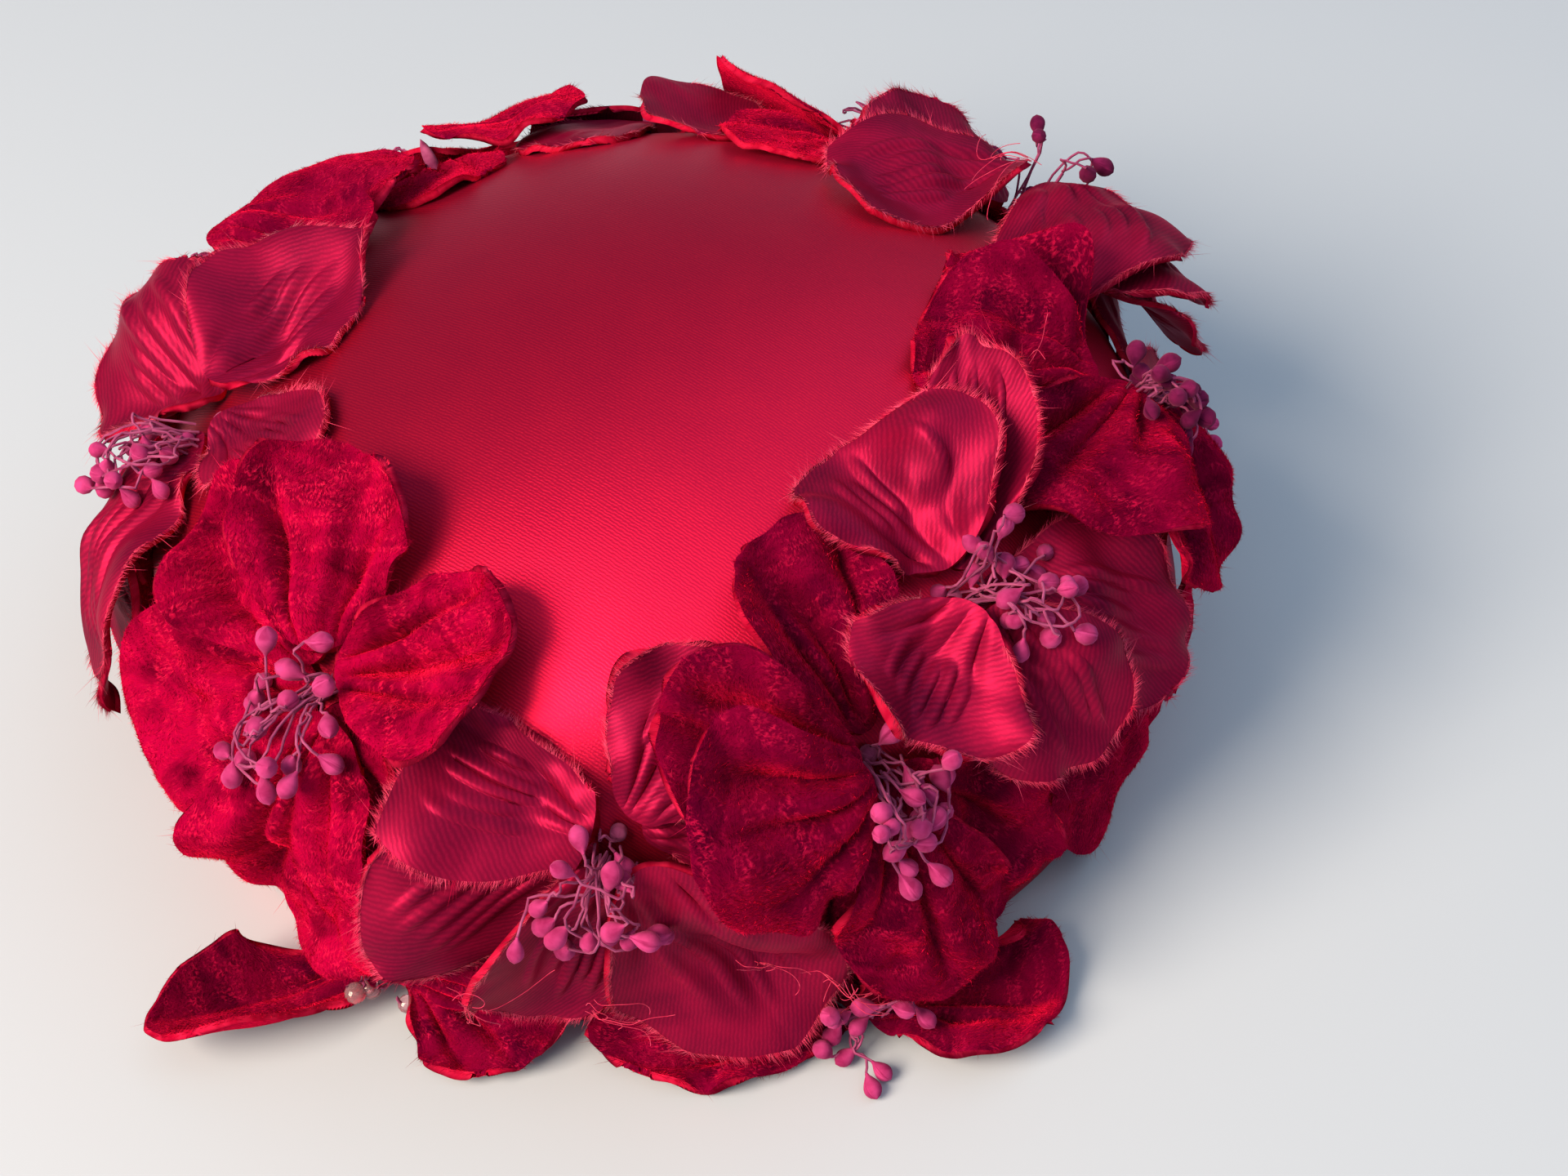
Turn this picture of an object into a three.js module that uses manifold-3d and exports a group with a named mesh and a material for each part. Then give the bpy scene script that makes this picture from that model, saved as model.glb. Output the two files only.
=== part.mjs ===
// A domed fascinator hat: a satin crown, open below, with a ring of cloth flowers round its side.
// Millimetres, +Z up, -Y is the front. The hat stands on the lower edge of its crown at z = 0.
//
// A place on the hat is given by three numbers:
//   azimuth  degrees round the hat, 0 at the front, 90 at the wearer's side that is +X
//   down     millimetres along the cloth, from the middle of the crown's top towards its edge
//   height   millimetres off the crown, square to it
import * as THREE from "three";
import { mergeVertices } from "three/addons/utils/BufferGeometryUtils.js";
import Module from "manifold-3d";

// ---- Driving dimensions, millimetres and degrees ----
const HAT_X = 0; // where the crown's axis stands, so that the whole hat's box is centred on the origin
const HAT_Y = 3.2;

const TOP_RADIUS = 150; // the crown's top, seen from the side
const TOP_ANGLE = 28;
const SHOULDER_RADIUS = 36;
const SHOULDER_ANGLE = 62;
const SIDE_DEPTH = 33.6; // the upright side below the shoulder
const CROWN_WALL = 2; // satin over buckram
const CROWN_SIDES = 28;

const FOOT_RADIUS = 14; // the bend of the cloth that turns outwards to lie on the floor
const FLOOR_REACH = 40;

const PETAL_THICKNESS = 1.3; // two layers of cloth, wired between
const GAP = 0.45;
const HUB_RADIUS = 3;
const ROOT = 3.6; // a petal starts this far from the flower's centre
const WHOLE_ROOT = 1; // and in a flower that is one solid, inside its knot
const STEM_RADIUS = 0.55;
const STEM_START = 1.2; // from the flower's centre, inside its knot
const PIP_RADIUS = 1.9;
const PIP_LENGTH = 5;

// ---- Flowers ----
// pips is how many stamens a flower has. They lean leanRight and leanDown millimetres to one side,
// over a patch of radius spread. A whole flower is one solid; the others have a solid for each petal.
// A flower at the foot of the side spreads onto the floor, and the others hang clear of it.
const FLOWERS = table(
  ["name", "azimuth", "down", "cloth", "build", "pips", "leanRight", "leanDown", "spread"],
  [
    ["flower_01", -84, 75, "satin", "petals", 7, 6, 14, 8],
    ["flower_02", -36, 84, "velvet", "petals", 7, -2, 8, 10],
    ["flower_03", -3, 98, "satin", "petals", 7, -4, 10, 9],
    ["flower_04", 23, 93, "velvet", "petals", 7, 0, 7, 9],
    ["flower_05", 40, 78, "satin", "petals", 7, 5, 4, 9],
    ["flower_06", 80, 80, "velvet", "petals", 7, -7, 5, 6],
    ["flower_07", 121, 82, "satin", "petals", 5, 0, 0, 9],
    ["flower_08", 151, 86, "velvet", "whole", 0, 0, 0, 0],
    ["flower_09", 180, 88, "satin", "whole", 0, 0, 0, 0],
    ["flower_10", -150, 88, "velvet", "whole", 0, 0, 0, 0],
    ["flower_11", -116, 84, "velvet", "whole", 0, 0, 0, 0],
    ["flower_12", 18, 146, "velvet", "foot", 5, 0, 3, 9],
    ["flower_13", -29, 134, "velvet", "foot", 0, 0, 0, 0],
    ["flower_14", 57, 112, "velvet", "whole", 0, 0, 0, 0],
    ["flower_15", 96, 112, "satin", "whole", 0, 0, 0, 0],
    ["flower_16", 130, 114, "velvet", "whole", 0, 0, 0, 0],
    ["flower_17", 164, 114, "satin", "whole", 0, 0, 0, 0],
    ["flower_18", -162, 114, "velvet", "whole", 0, 0, 0, 0],
    ["flower_19", -128, 114, "satin", "whole", 0, 0, 0, 0],
    ["flower_20", -95, 114, "velvet", "whole", 0, 0, 0, 0],
    ["flower_21", -64, 114, "satin", "whole", 0, 0, 0, 0],
  ],
);

// ---- Petals, lowest first ----
// towards  the way it points: 0 up to the crown's top, 90 to the right, 180 down
// reach    from the flower's centre to its tip; aside shifts it to its own right
// lift     the angle at which it leaves the crown; curl is what that gains by the tip
// cup      how far its long edges stand up, or hang down if negative
// point    a longer tip, as a share of its length, or a notch if negative
// round    1 for a round outline, 0 for a square one
const PETAL_COLUMNS =
  ["flower", "towards", "reach", "width", "aside", "lift", "curl", "cup", "point", "round"];
const PETALS = table(PETAL_COLUMNS, [
  ["flower_13", 114, 32, 27, 0, 0, 0, 1, 0, 1],
  ["flower_13", 70, 26, 22, 0, 2, 0, 0, 0, 1],
  ["flower_13", -143, 50, 17, 0, 4, 15, 4, 0, 1],
  ["flower_12", -84, 42, 22, 0, 0, 0, 0, 0, 1],
  ["flower_12", 20, 28, 22, 0, 2, 0, 0, 0, 1],
  ["flower_12", 55, 34, 24, 0, 2, 0, 1, 0, 1],
  ["flower_12", 107, 38, 27, 0, 2, 5, 2, 0, 1],
  ...plainPetals("flower_18", 60, 30, 4),
  ...plainPetals("flower_17", 30, 30, 4),
  ...plainPetals("flower_19", 15, 30, 4),
  ...plainPetals("flower_16", 5, 30, 5),
  ...plainPetals("flower_20", 45, 30, 6),
  ...plainPetals("flower_15", 50, 31, 8),
  ...plainPetals("flower_21", 20, 30, 6),
  ...plainPetals("flower_14", 25, 31, 8),
  ...plainPetals("flower_09", 45, 30, 0),
  ...plainPetals("flower_10", 20, 31, 0),
  ...plainPetals("flower_08", 15, 31, 0),
  ["flower_11", 130, 30, 26, 0, 6, 0, 1, 0, 1],
  ["flower_11", 60, 26, 24, 0, 4, 0, 1, 0, 1],
  ["flower_11", -140, 30, 26, 0, 6, 0, 1, 0, 1],
  ["flower_11", -60, 34, 28, 0, 6, 4, 1, 0, 1],
  ["flower_11", 0, 32, 24, 0, 6, 4, 1, 0, 1],
  ["flower_05", 128, 38, 26, 0, 6, 0, 1, 0, 1],
  ["flower_07", 75, 31, 27, 0, 6, 6, 1, 0, 1],
  ["flower_07", -125, 38, 25, 0, 8, 4, 1, 0, 1],
  ["flower_07", -104, 36, 22, 0, 8, -4, -2, 0, 1],
  ["flower_07", -78, 33, 26, 0, 10, 0, -2, 0.1, 0.8],
  ["flower_07", 22, 34, 27, 0, 6, 2, -1, 0.05, 0.6],
  ["flower_01", 150, 46, 24, 0, 0, 0, -2, 0.1, 1],
  ["flower_01", -115, 30, 28, 0, 4, 0, 1, 0.1, 1],
  ["flower_01", 55, 26, 25, 0, 6, 6, 1, 0, 0.9],
  ["flower_01", -42, 32, 26, 0, 4, 4, 1, 0.12, 1],
  ["flower_06", 175, 30, 26, 0, 8, 0, -1, 0, 1],
  ["flower_06", -130, 33, 23, 0, 6, 0, -1, 0, 1],
  ["flower_06", 34, 33, 18, 0, 4, 10, 1, 0, 1],
  ["flower_06", -10, 33, 30, 0, 4, 6, 1, 0.05, 0.9],
  ["flower_06", -80, 36, 30, 0, 6, 0, 1, 0, 0.9],
  ["flower_02", -125, 40, 28, 0, 8, -2, 1, 0, 0.9],
  ["flower_02", -65, 34, 22, 0, 8, 0, 2, 0, 1],
  ["flower_02", 146, 40, 22, 0, 6, 0, 2, 0, 1],
  ["flower_02", -176, 46, 33, -4, 6, -6, 0, 0, 0.8],
  ["flower_02", -28, 33, 25, 0, 8, 6, 2, 0, 0.9],
  ["flower_03", 85, 26, 22, 0, 4, 0, 1, 0, 1],
  ["flower_03", 35, 30, 26, 0, 4, 8, 2, 0, 0.9],
  ["flower_03", -112, 36, 25, 0, 4, 0, -1, 0, 0.9],
  ["flower_03", -158, 37, 24, 0, 6, 0, 1, 0, 1],
  ["flower_04", -134, 29, 24, 0, 4, 4, 1, 0, 0.9],
  ["flower_04", -2, 36, 24, 0, 4, 8, 2, 0, 1],
  ["flower_03", -72, 31, 20, 1, 2, 0, -1, 0, 0.3],
  ["flower_02", 62, 29, 27, 0, 8, 14, 3, 0, 0.9],
  ["flower_03", 154, 45, 34, -2, 4, -4, -1, 0.06, 0.8],
  ["flower_04", 146, 38, 25, 0, 8, -2, -1, 0, 1],
  ["flower_04", 176, 37, 26, 0, 8, -4, -1, 0.04, 1],
  ["flower_04", -70, 31, 22, 0, 6, 12, 3, 0, 0.9],
  ["flower_04", -94, 28, 25, 0, 8, 0, -1, 0.04, 0.9],
  ["flower_05", 44, 34, 18, 0, 8, 14, 3, 0.05, 1],
  ["flower_05", 2, 28, 31, 0, 4, 6, 1, 0.08, 0.8],
  ["flower_05", 176, 27, 25, 0, 6, 0, -1, 0, 0.9],
  ["flower_05", -118, 24, 24, 0, 8, -4, -1, 0.04, 1],
]);

// The four petals of a flower that is like every other: spin turns the first one off straight up.
function plainPetals(flower, spin, reach, lift) {
  return [
    [flower, spin, reach, 28, 0, lift, 0, -1, 0.03, 1],
    [flower, spin + 90, reach - 2, 27, 0, lift, 2, 1, 0.03, 1],
    [flower, spin + 180, reach, 28, 0, lift, 0, -1, 0.03, 1],
    [flower, spin + 270, reach - 2, 27, 0, lift, 2, 1, 0.03, 1],
  ];
}

const COLOURS = { crown: 0xb01230, satin: 0xa01230, velvet: 0x8e0a22, pip: 0x9a3068 };

// Grid steps of a petal and of a plain flower's petal, across and along.
const FINE = [4, 4];
const COARSE = [2, 4];

function table(columns, rows) {
  return rows.map((row) => Object.fromEntries(columns.map((name, i) => [name, row[i]])));
}

// ---- Small maths ----
const rad = THREE.MathUtils.degToRad;
const lerp = THREE.MathUtils.lerp;
const clamp = THREE.MathUtils.clamp;
const smooth = THREE.MathUtils.smoothstep;

// ---- The side view as arcs and straight lines, walked by distance ----
// turn is the angle between the path and the horizontal; a negative radius curves outwards.
function path(pieces, startZ) {
  let at = { r: 0, z: startZ, turn: 0 };
  const made = [];
  for (const [radius, size] of pieces) {
    const length = radius ? Math.abs(radius) * rad(size) : size;
    made.push({ start: at, radius, length });
    at = walk(made.at(-1), length);
  }
  return made;
}

function walk({ start, radius }, distance) {
  const { r, z, turn } = start;
  if (!radius) return { r: r + distance * Math.cos(turn), z: z - distance * Math.sin(turn), turn };
  const now = turn + distance / radius;
  return {
    r: r + radius * (Math.sin(now) - Math.sin(turn)),
    z: z + radius * (Math.cos(now) - Math.cos(turn)),
    turn: now,
  };
}

function along(pieces, distance) {
  for (const piece of pieces) {
    if (distance <= piece.length || piece === pieces.at(-1)) return walk(piece, distance);
    distance -= piece.length;
  }
}

const DOME = [
  [TOP_RADIUS, TOP_ANGLE],
  [SHOULDER_RADIUS, SHOULDER_ANGLE],
];
const CROWN_HEIGHT = SIDE_DEPTH - path([...DOME, [0, 0]], 0).at(-1).start.z;
const crownSide = path([...DOME, [0, SIDE_DEPTH]], CROWN_HEIGHT);
const footSide = path(
  [...DOME, [0, SIDE_DEPTH - FOOT_RADIUS], [-FOOT_RADIUS, 90], [0, FLOOR_REACH]],
  CROWN_HEIGHT,
);
const sideUnder = (flower) => (flower.build === "foot" ? footSide : crownSide);
const lengthOf = (pieces) => pieces.reduce((sum, piece) => sum + piece.length, 0);
const crownLength = lengthOf(crownSide);

// The point at an azimuth from the front, a distance down a side view and a height off it.
function place(pieces, azimuth, down, height) {
  const { r, z, turn } = along(pieces, down);
  const out = r + height * Math.sin(turn);
  return new THREE.Vector3(
    out * Math.sin(rad(azimuth)),
    -out * Math.cos(rad(azimuth)),
    z + height * Math.cos(turn),
  );
}

// ---- Crown: one shell, open below ----
function crownGeometry() {
  const outer = stations(0, [0.35, 0.7, 1], [0.2, 0.4, 0.6, 0.8, 1]);
  const inner = stations(-CROWN_WALL, [0.5, 1], [0.33, 0.67, 1]);
  return new THREE.LatheGeometry([...inner, ...outer.reverse()], CROWN_SIDES).rotateX(Math.PI / 2);
}

// Points down the crown's side view, at shares of its top and of its shoulder, and at its edge.
function stations(height, topShares, shoulderShares) {
  const [top, shoulder] = crownSide;
  const distances = [0, ...topShares.map((share) => share * top.length)];
  distances.push(...shoulderShares.map((share) => top.length + share * shoulder.length), crownLength);
  return distances.map((distance) => {
    const { r, z, turn } = along(crownSide, distance);
    return new THREE.Vector2(Math.max(0, r + height * Math.sin(turn)), z + height * Math.cos(turn));
  });
}

// ---- What already lies on each side view, as heights on a grid of azimuth and distance down ----
const CELL_AZIMUTH = 1.5;
const CELL_DOWN = 2;
const COLUMNS = 360 / CELL_AZIMUTH;
const ROWS = Math.ceil(lengthOf(footSide) / CELL_DOWN) + 1;
const SPREAD_CELLS = 2;
const FAR_OFF = 9; // cloth further off than this from the upright side lies on the floor, clear of what hangs
const grounds = new Map([crownSide, footSide].map((pieces) => [pieces, new Float32Array(COLUMNS * ROWS)]));

function cellOf(azimuth, down) {
  const column = ((Math.round(azimuth / CELL_AZIMUTH) % COLUMNS) + COLUMNS) % COLUMNS;
  const row = clamp(Math.round(down / CELL_DOWN), 0, ROWS - 1);
  return row * COLUMNS + column;
}

// A pass over rows or columns of the grid, each cell taking merge() of its neighbours' values.
function pass(grid, stepRow, stepColumn, merge) {
  return grid.map((_, i) => {
    const row = Math.floor(i / COLUMNS);
    const column = i % COLUMNS;
    const near = [];
    for (let k = -SPREAD_CELLS; k <= SPREAD_CELLS; k++) {
      const atRow = clamp(row + k * stepRow, 0, ROWS - 1);
      near.push(grid[atRow * COLUMNS + ((column + k * stepColumn + COLUMNS) % COLUMNS)]);
    }
    return merge(near);
  });
}

const highest = (values) => Math.max(...values);
const mean = (values) => values.reduce((a, b) => a + b) / values.length;

// The smooth surface that the next piece may rest on, never lower than what lies there.
function restingSurface(flower) {
  let grid = pass(grounds.get(sideUnder(flower)), 1, 0, highest);
  grid = pass(grid, 0, 1, highest);
  grid = pass(grid, 1, 0, mean);
  return pass(grid, 0, 1, mean);
}

function heightOn(grid, azimuth, down) {
  const x = azimuth / CELL_AZIMUTH;
  const y = down / CELL_DOWN;
  const [x0, y0] = [Math.floor(x), Math.floor(y)];
  const at = (i, j) => grid[cellOf(i * CELL_AZIMUTH, j * CELL_DOWN)];
  return lerp(
    lerp(at(x0, y0), at(x0 + 1, y0), x - x0),
    lerp(at(x0, y0 + 1), at(x0 + 1, y0 + 1), x - x0),
    y - y0,
  );
}

// ---- A petal's sheet: grid points as [azimuth from the flower's, down, height] ----
function petalOutline(petal, a, b) {
  const x = a * Math.sqrt(1 - (petal.round * b * b) / 2);
  const y = b * Math.sqrt(1 - (petal.round * a * a) / 2);
  const share = (y + 1) / 2;
  const side = ((x * petal.width) / 2) * lerp(0.55, 1, smooth(share, 0, 0.6));
  const tip = petal.point * (1 - Math.abs(x)) ** 2 * smooth(share, 0.6, 1);
  return { x, share, side: side + petal.aside, length: (petal.reach - petal.root) * (share + tip) };
}

// How far along the crown, and how high off it, a petal's middle line is after a length.
function bend(petal, length) {
  const steps = 8;
  let out = 0;
  let up = 0;
  for (let i = 0; i < steps; i++) {
    const share = (((i + 0.5) / steps) * length) / (petal.reach - petal.root);
    const angle = rad(petal.lift + petal.curl * share * share);
    out += (Math.cos(angle) * length) / steps;
    up += (Math.sin(angle) * length) / steps;
  }
  return { out, up };
}

function petalPoint(flower, petal, a, b) {
  const { x, share, side, length } = petalOutline(petal, a, b);
  const { out, up } = bend(petal, length);
  const turn = rad(petal.towards);
  const right = (petal.root + out) * Math.sin(turn) + side * Math.cos(turn);
  const down = -(petal.root + out) * Math.cos(turn) + side * Math.sin(turn);
  const at = flower.down + down;
  const azimuth = THREE.MathUtils.radToDeg(right / along(sideUnder(flower), at).r);
  return [azimuth, at, up + petal.cup * x * x * smooth(share, 0.1, 0.7)];
}

function sheetOf(flower, petal, [across, lengthwise]) {
  const resting = restingSurface(flower);
  const sheet = [];
  for (let j = 0; j <= lengthwise; j++)
    for (let i = 0; i <= across; i++) {
      const [a, b] = [lerp(-1, 1, i / across), lerp(-1, 1, j / lengthwise)];
      const [azimuth, down, up] = petalPoint(flower, petal, a, b);
      const under = heightOn(resting, flower.azimuth + azimuth, down);
      sheet.push([azimuth, down, under + GAP + PETAL_THICKNESS / 2 + up]);
    }
  raiseClear(flower, sheet, across, lengthwise);
  return sheet;
}

// Points spread over a sheet's flat faces, each with the corners that it lies between.
function* samples(sheet, across, lengthwise) {
  const steps = 6;
  for (let j = 0; j < lengthwise; j++)
    for (let i = 0; i < across; i++) {
      const k = j * (across + 1) + i;
      const corners = [k, k + 1, k + across + 1, k + across + 2];
      for (let v = 0; v <= steps; v++)
        for (let u = 0; u <= steps; u++) {
          const [s, t] = [u / steps, v / steps];
          const weights = [(1 - s) * (1 - t), s * (1 - t), (1 - s) * t, s * t];
          const blend = (n) => corners.reduce((sum, c, m) => sum + weights[m] * sheet[c][n], 0);
          yield { corners, point: [blend(0), blend(1), blend(2)] };
        }
    }
}

// Lifts the corners of any face that would cut into what lies there.
function raiseClear(flower, sheet, across, lengthwise) {
  const near = justAround(flower);
  for (let round = 0; round < 8; round++) {
    const raise = new Float32Array(sheet.length);
    for (const { corners, point } of samples(sheet, across, lengthwise)) {
      const under = near[cellOf(flower.azimuth + point[0], point[1])];
      const short = under + GAP + PETAL_THICKNESS / 2 - point[2];
      if (short > 0) for (const c of corners) raise[c] = Math.max(raise[c], short);
    }
    if (!raise.some((amount) => amount > 0.01)) return;
    sheet.forEach((point, i) => (point[2] += raise[i]));
  }
}

// Each cell with the highest of itself and the cells next to it.
function justAround(flower) {
  const nearHighest = (values) => Math.max(...values.slice(SPREAD_CELLS - 1, SPREAD_CELLS + 2));
  return pass(pass(grounds.get(sideUnder(flower)), 1, 0, nearHighest), 0, 1, nearHighest);
}

function lay(flower, sheet, across, lengthwise) {
  const own = sideUnder(flower);
  for (const { point } of samples(sheet, across, lengthwise)) {
    for (const [side, ground] of grounds) {
      const [down, height] = side === own ? point.slice(1) : seenFrom(side, place(own, ...point));
      if (side !== own && height > FAR_OFF) continue;
      for (const step of side === own ? [0] : [-1, 0, 1]) {
        const cell = cellOf(flower.azimuth + point[0], down + step * CELL_DOWN);
        ground[cell] = Math.max(ground[cell], height + PETAL_THICKNESS / 2);
      }
    }
  }
}

// How far down a side view a point is, and how far off it.
function seenFrom(pieces, point) {
  const r = Math.hypot(point.x, point.y);
  let nearest = { distance: Infinity };
  for (let down = 0; down < ROWS * CELL_DOWN; down += CELL_DOWN) {
    const at = along(pieces, down);
    const distance = Math.hypot(r - at.r, point.z - at.z);
    if (distance < nearest.distance) nearest = { distance, down, ...at };
  }
  const { down, turn } = nearest;
  return [down, (r - nearest.r) * Math.sin(turn) + (point.z - nearest.z) * Math.cos(turn)];
}

// ---- Closed solids from sheets and rings ----
function slab(flower, sheet, across, lengthwise) {
  const middle = sheet.map((point) => place(sideUnder(flower), ...point));
  const at = (i, j) => middle[clamp(j, 0, lengthwise) * (across + 1) + clamp(i, 0, across)];
  const faces = [[], []];
  for (let j = 0; j <= lengthwise; j++)
    for (let i = 0; i <= across; i++) {
      const alongWay = at(i, j + 1).clone().sub(at(i, j - 1));
      const acrossWay = at(i + 1, j).clone().sub(at(i - 1, j));
      const out = alongWay.cross(acrossWay).normalize().multiplyScalar(PETAL_THICKNESS / 2);
      const hat = middle[0];
      if (out.dot(new THREE.Vector3(hat.x, hat.y, Math.max(hat.z, 1))) < 0) out.negate();
      faces[0].push(at(i, j).clone().add(out));
      faces[1].push(at(i, j).clone().sub(out));
    }
  return closedGeometry(faces, across + 1, lengthwise + 1);
}

function closedGeometry([upper, lower], columns, rows) {
  const points = [...upper, ...lower];
  const below = upper.length;
  const index = [];
  const quad = (a, b, c, d) => index.push(a, b, c, b, d, c);
  for (let j = 0; j < rows - 1; j++)
    for (let i = 0; i < columns - 1; i++) {
      const k = j * columns + i;
      quad(k, k + 1, k + columns, k + columns + 1);
      quad(below + k + 1, below + k, below + k + columns + 1, below + k + columns);
    }
  const last = (rows - 1) * columns;
  for (let i = 0; i < columns - 1; i++) {
    quad(i + 1, i, below + i + 1, below + i);
    quad(last + i, last + i + 1, below + last + i, below + last + i + 1);
  }
  for (let j = 0; j < rows - 1; j++) {
    const k = j * columns;
    const end = k + columns - 1;
    quad(k, k + columns, below + k, below + k + columns);
    quad(end + columns, end, below + end + columns, below + end);
  }
  return outward(points, index);
}

// The closed solid of these faces, turned round if they came out inside out.
function outward(points, faces) {
  const geometry = new THREE.BufferGeometry().setFromPoints(points).setIndex(faces);
  const p = geometry.getAttribute("position");
  const index = geometry.getIndex().array;
  const corner = (i) => new THREE.Vector3().fromBufferAttribute(p, index[i]);
  let volume = 0;
  for (let i = 0; i < index.length; i += 3) volume += corner(i).dot(corner(i + 1).cross(corner(i + 2)));
  if (volume > 0) return geometry;
  for (let i = 0; i < index.length; i += 3) [index[i], index[i + 1]] = [index[i + 1], index[i]];
  return geometry;
}

// A tube through rings of given radii, pointed at its end.
function strand(points, radii, sides) {
  const rings = [];
  const last = points.length - 2;
  for (let k = 0; k <= last; k++) {
    const way = points[k + 1].clone().sub(points[Math.max(0, k - 1)]).normalize();
    const across = new THREE.Vector3(0, 0, 1).cross(way);
    if (across.length() < 0.1) across.set(1, 0, 0);
    across.normalize();
    const over = way.clone().cross(across);
    for (let i = 0; i < sides; i++) {
      const turn = (2 * Math.PI * i) / sides;
      const offset = across.clone().multiplyScalar(radii[k] * Math.cos(turn));
      rings.push(points[k].clone().add(offset).addScaledVector(over, radii[k] * Math.sin(turn)));
    }
  }
  const foot = rings.push(points[0]) - 1;
  const tip = rings.push(points.at(-1)) - 1;
  const index = [];
  for (let i = 0; i < sides; i++) {
    const next = (i + 1) % sides;
    index.push(foot, next, i);
    for (let k = 0; k < last; k++) {
      const [a, b] = [k * sides + i, k * sides + next];
      index.push(a, b, a + sides, b, b + sides, a + sides);
    }
    index.push(last * sides + i, last * sides + next, tip);
  }
  return outward(rings, index);
}

// ---- Joining ----
const wasm = await Module();
wasm.setup();

function solidOf(geometry) {
  const bare = geometry.clone();
  for (const name of Object.keys(bare.attributes)) if (name !== "position") bare.deleteAttribute(name);
  const merged = mergeVertices(bare, 1e-4);
  return new wasm.Manifold(
    new wasm.Mesh({
      numProp: 3,
      vertProperties: new Float32Array(merged.attributes.position.array),
      triVerts: new Uint32Array(merged.index.array),
    }),
  );
}

function joined(geometries) {
  const whole = geometries.map(solidOf).reduce((a, b) => a.add(b));
  if (whole.decompose().length > 1) throw new Error("a flower's petals or stamens missed its knot");
  const { vertProperties, triVerts } = whole.getMesh();
  return new THREE.BufferGeometry()
    .setAttribute("position", new THREE.Float32BufferAttribute(vertProperties, 3))
    .setIndex(new THREE.BufferAttribute(triVerts, 1));
}

// ---- Stamens: a knot in the flower's centre and pips on stems, all one solid ----
const GOLDEN = 137.508;
const KNOT_FOOT = 0.8; // how far the knot starts off the crown
const KNOT_SHARES = [0, 0.94, 1];
const STEM_SHARES = [0, 0.5, 1]; // where a stem bends, as shares of its way from the knot to its pip

function stamenGeometries(flower) {
  const near = justAround(flower);
  const top = heightOn(restingSurface(flower), flower.azimuth, flower.down);
  const rise = top + (flower.pips ? 1.5 : -1.5);
  const knot = strand(
    KNOT_SHARES.map((share) => place(sideUnder(flower), 0, flower.down, KNOT_FOOT + share * rise)),
    [HUB_RADIUS, HUB_RADIUS * 0.8],
    6,
  );
  const stems = Array.from({ length: flower.pips }, (_, k) => stamen(flower, near, top, k));
  return [knot, ...stems];
}

function stamen(flower, near, top, k) {
  const turn = rad(k * GOLDEN);
  const out = flower.spread * Math.sqrt((k + 0.6) / flower.pips);
  const right = flower.leanRight + out * Math.sin(turn);
  const down = flower.leanDown + out * Math.cos(turn);
  const length = Math.max(Math.hypot(right, down), 1);
  const start = STEM_START / length;
  const shares = STEM_SHARES.map((share) => start + share * (1 - start));
  shares.push(1 + (0.6 * PIP_LENGTH) / length, 1 + PIP_LENGTH / length);
  const at = (share) => {
    const far = flower.down + share * down;
    return [THREE.MathUtils.radToDeg((share * right) / along(sideUnder(flower), far).r), far];
  };
  const under = (share) => {
    const [azimuth, far] = at(share);
    return near[cellOf(flower.azimuth + azimuth, far)] + PIP_RADIUS + GAP;
  };
  const heights = shares.map((share, i) => (i ? under(share) + (k % 3) : top + 1.2));
  for (let round = 0; round < 6; round++)
    for (let i = 0; i < shares.length - 1; i++)
      for (let step = 0; step <= 4; step++) {
        const share = lerp(shares[i], shares[i + 1], step / 4);
        const short = share > 2 * start && under(share) - lerp(heights[i], heights[i + 1], step / 4);
        if (short > 0) for (const n of [i, i + 1]) if (n) heights[n] += short;
      }
  const points = shares.map((share, i) => place(sideUnder(flower), ...at(share), heights[i]));
  return strand(points, [STEM_RADIUS, STEM_RADIUS, STEM_RADIUS, PIP_RADIUS], 3);
}

// ---- Assembly ----
function material(colour, roughness) {
  return new THREE.MeshStandardMaterial({ color: colour, roughness, metalness: 0 });
}
const materials = {
  crown: material(COLOURS.crown, 0.45),
  satin: material(COLOURS.satin, 0.5),
  velvet: material(COLOURS.velvet, 0.95),
  pip: material(COLOURS.pip, 0.8),
};

function add(group, name, geometry, finish) {
  const mesh = new THREE.Mesh(geometry, materials[finish]);
  mesh.name = name;
  group.add(mesh);
}

// A flower's own group turns round the crown's axis; its pieces are made at azimuth 0.
const groups = new Map();
function groupOf(flower) {
  if (!groups.has(flower.name)) {
    const group = new THREE.Group();
    group.rotation.z = rad(flower.azimuth);
    groups.set(flower.name, group);
    hat.add(group);
  }
  return groups.get(flower.name);
}

const hat = new THREE.Group();
hat.position.set(HAT_X, HAT_Y, 0);
add(hat, "crown", crownGeometry(), "crown");

const made = new Map(FLOWERS.map(({ name }) => [name, []]));
for (const petal of PETALS) {
  const flower = FLOWERS.find(({ name }) => name === petal.flower);
  petal.root = flower.build === "petals" ? ROOT : WHOLE_ROOT;
  const grid = flower.build === "petals" ? FINE : COARSE;
  const sheet = sheetOf(flower, petal, grid);
  lay(flower, sheet, ...grid);
  made.get(flower.name).push(slab(flower, sheet, ...grid));
}
for (const flower of FLOWERS) {
  const petals = made.get(flower.name);
  const stamens = stamenGeometries(flower);
  const group = groupOf(flower);
  if (flower.build !== "petals") {
    add(group, flower.name, joined([...petals, ...stamens]), flower.cloth);
    continue;
  }
  petals.forEach((petal, k) => add(group, `${flower.name}_petal_${k + 1}`, petal, flower.cloth));
  add(group, `${flower.name}_stamens`, joined(stamens), "pip");
}

export default hat;
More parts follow.
